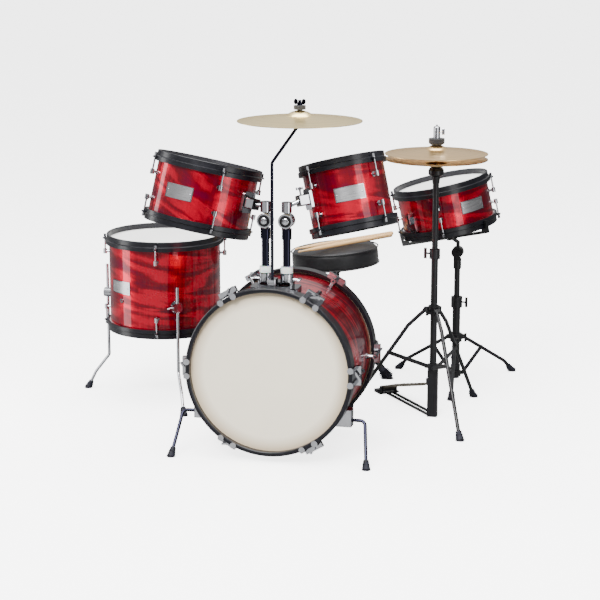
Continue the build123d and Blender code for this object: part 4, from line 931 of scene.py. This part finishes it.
def make_ratchet(side, chrome, black):
    """The ratchet's front: a raised chrome rim, a black toothed well and a domed bolt."""
    middle = post_axis(side) @ Vector((0.0, -RATCHET_DEEP, RATCHET_HIGH))
    place = axis_frame(middle, (0.0, -1.0, 0.0))
    wide = RATCHET_WIDE
    rim = [(wide - 5 * MM, -0.5 * MM), (wide + 0.4 * MM, -0.5 * MM), (wide + 0.4 * MM, 1.2 * MM),
           (wide - 1 * MM, 2.6 * MM), (wide - 4 * MM, 2.6 * MM), (wide - 5 * MM, 1.2 * MM)]
    well = [(0.0, -0.5 * MM), (wide - 5 * MM, -0.5 * MM), (wide - 5 * MM, 0.9 * MM), (0.0, 0.9 * MM)]
    bolt = [(0.0, 3.5 * MM), (8.6 * MM, 3.5 * MM), (8.6 * MM, 5 * MM), (6.5 * MM, 6.4 * MM),
            (3.4 * MM, 6.6 * MM), (3.0 * MM, 5.2 * MM), (0.0, 5.2 * MM)]
    tooth = [(9.4 * MM, 0.8 * MM), (wide - 5.2 * MM, 0.8 * MM), (wide - 5.2 * MM, 1.9 * MM),
             (9.4 * MM, 1.5 * MM)]

    def teeth(shape):
        turn_outline(shape, place, well, 48)
        for number in range(RATCHET_TEETH):
            start = tau * number / RATCHET_TEETH
            turn_outline(shape, place, tooth, 1, tau / RATCHET_TEETH / 2, start)

    body = side + "_tom_post"
    for name, build, material in (("rim", lambda shape: turn_outline(shape, place, rim, 64), chrome),
                                  ("teeth", teeth, black),
                                  ("bolt", lambda shape: turn_outline(shape, place, bolt, 48), chrome)):
        made = piece(f"{side}_ratchet_{name}", mesh_of(f"{side}_ratchet_{name}", build), material, body)


class KIT_OT_stage(KitOperator, bpy.types.Operator):
    """Lays the floor, sets the soft lights and stands the camera"""

    bl_idname = "kit.stage"
    bl_label = "Stage"

    def build(self, finishes, sizes, stage):
        lay_floor(stage.floor, stage.glow)
        light_studio(stage.sky, stage.glow)
        stand_camera(stage.lens)


# Where the camera stands, how far it turns to the left and how far it looks down.
CAMERA_AT = Vector((1.1325, -4.7023, 1.3732))
CAMERA_TURN, CAMERA_DOWN = radians(12.86), radians(12.42)
SENSOR_WIDTH = 36.0


def lay_floor(width, glow):
    def build(shape):
        bmesh.ops.create_grid(shape, x_segments=8, y_segments=8, size=width / 2)

    finish = Finish("studio_floor", Specular_IOR_Level=0.1, Roughness=0.7, Emission_Color=(1.0, 1.0, 1.0))
    seen = finish.node("LightPath", {}).outputs["Is Camera Ray"]
    cloud = finish.noise(finish.place(), 1.4, 3.0)
    paper = finish.ramp(cloud, (0.3, (0.92, 0.92, 0.92)), (0.7, (0.95, 0.95, 0.95)))
    finish.set("Base Color", finish.blend(seen, (0.2, 0.2, 0.2), paper))
    finish.set("Emission Strength", finish.sums("MULTIPLY", seen, glow))
    mesh = mesh_of("studio_floor", build)
    mesh.materials.append(finish.material)
    floor = bpy.data.objects.new("studio_floor", mesh)
    floor.location = (0.0, 0.0, -0.5 * MM)
    bpy.context.scene.collection.objects.link(floor)


def soft_box(name, spot, towards, width, tall, power):
    """An area light at one spot that faces another, and isn't seen itself."""
    lamp = bpy.data.lights.new(name, "AREA")
    lamp.shape, lamp.size, lamp.size_y, lamp.energy = "RECTANGLE", width, tall, power
    made = bpy.data.objects.new(name, lamp)
    made.location = spot
    made.rotation_euler = (Vector(towards) - Vector(spot)).to_track_quat("-Z", "Y").to_euler()
    made.visible_camera = False
    bpy.context.scene.collection.objects.link(made)


def light_studio(strength, glow):
    world = bpy.data.worlds.new("studio")
    bpy.context.scene.world = world
    world.use_nodes = True
    nodes, links = world.node_tree.nodes, world.node_tree.links
    parts = nodes.new("ShaderNodeSeparateXYZ")
    links.new(nodes.new("ShaderNodeTexCoord").outputs["Generated"], parts.inputs[0])
    ramp = nodes.new("ShaderNodeValToRGB")
    links.new(parts.outputs["Z"], ramp.inputs[0])
    band = ramp.color_ramp
    for spot, grey in ((0.11, 0.14), (0.20, 0.85)):
        band.elements.new(spot).color = (grey, grey, grey, 1.0)
    band.elements[0].color = (0.10, 0.10, 0.105, 1.0)
    band.elements[-1].color = (1.0, 1.0, 1.0, 1.0)
    ground, paper = nodes["Background"], nodes.new("ShaderNodeBackground")
    mix = nodes.new("ShaderNodeMixShader")
    links.new(ramp.outputs["Color"], ground.inputs["Color"])
    ground.inputs["Strength"].default_value = strength
    paper.inputs["Strength"].default_value = glow
    links.new(nodes.new("ShaderNodeLightPath").outputs["Is Camera Ray"], mix.inputs[0])
    links.new(ground.outputs[0], mix.inputs[1])
    links.new(paper.outputs[0], mix.inputs[2])
    links.new(mix.outputs[0], nodes["World Output"].inputs["Surface"])
    soft_box("left_panel", (-1.06, -0.30, 0.80), (-0.10, 0.0, 0.80), 0.27, 1.6, 8.0)
    soft_box("right_panel", (1.88, -1.53, 1.00), (0.20, 0.0, 1.00), 0.75, 2.0, 20.0)
    soft_box("overhead", (0.2, -0.4, 3.4), (0.0, 0.0, 0.0), 3.2, 3.2, 270.0)
    soft_box("front_fill", (-0.6, -4.6, 4.2), (0.0, 0.0, 0.4), 2.4, 2.0, 560.0)


def stand_camera(lens):
    camera = bpy.data.cameras.new("camera")
    camera.lens, camera.sensor_width = lens, SENSOR_WIDTH
    made = bpy.data.objects.new("camera", camera)
    made.location = CAMERA_AT
    made.rotation_euler = (pi / 2 - CAMERA_DOWN, 0.0, CAMERA_TURN)
    bpy.context.scene.collection.objects.link(made)
    bpy.context.scene.camera = made


# ---------------------------------------------------------------- add-on
STEPS = ("wraps", "heads", "fittings", "cymbals", "stands", "pedals", "stool_seat", "sticks", "boots",
         "trims", "stage")


class KIT_PT_panel(bpy.types.Panel):
    bl_idname = "KIT_PT_panel"
    bl_label = "Drum Kit"
    bl_space_type = "VIEW_3D"
    bl_region_type = "UI"
    bl_category = "Drum Kit"

    def draw(self, context):
        for group in (context.scene.kit_finishes, context.scene.kit_sizes, context.scene.kit_stage):
            for key in group.__annotations__:
                self.layout.prop(group, key)
        for step in STEPS:
            self.layout.operator("kit." + step)


CLASSES = (KitFinishes, KitSizes, KitStage, KIT_OT_wraps, KIT_OT_heads, KIT_OT_fittings, KIT_OT_cymbals,
           KIT_OT_stands, KIT_OT_pedals, KIT_OT_stool_seat, KIT_OT_sticks, KIT_OT_boots, KIT_OT_trims,
           KIT_OT_stage, KIT_PT_panel)
GROUPS = {"kit_finishes": KitFinishes, "kit_sizes": KitSizes, "kit_stage": KitStage}


def register():
    for kind in CLASSES:
        bpy.utils.register_class(kind)
    for name, kind in GROUPS.items():
        setattr(bpy.types.Scene, name, PointerProperty(type=kind))


def unregister():
    for name in GROUPS:
        delattr(bpy.types.Scene, name)
    for kind in reversed(CLASSES):
        bpy.utils.unregister_class(kind)


def main():
    register()
    for step in STEPS:
        getattr(bpy.ops.kit, step)()


if __name__ == "__main__":
    main()
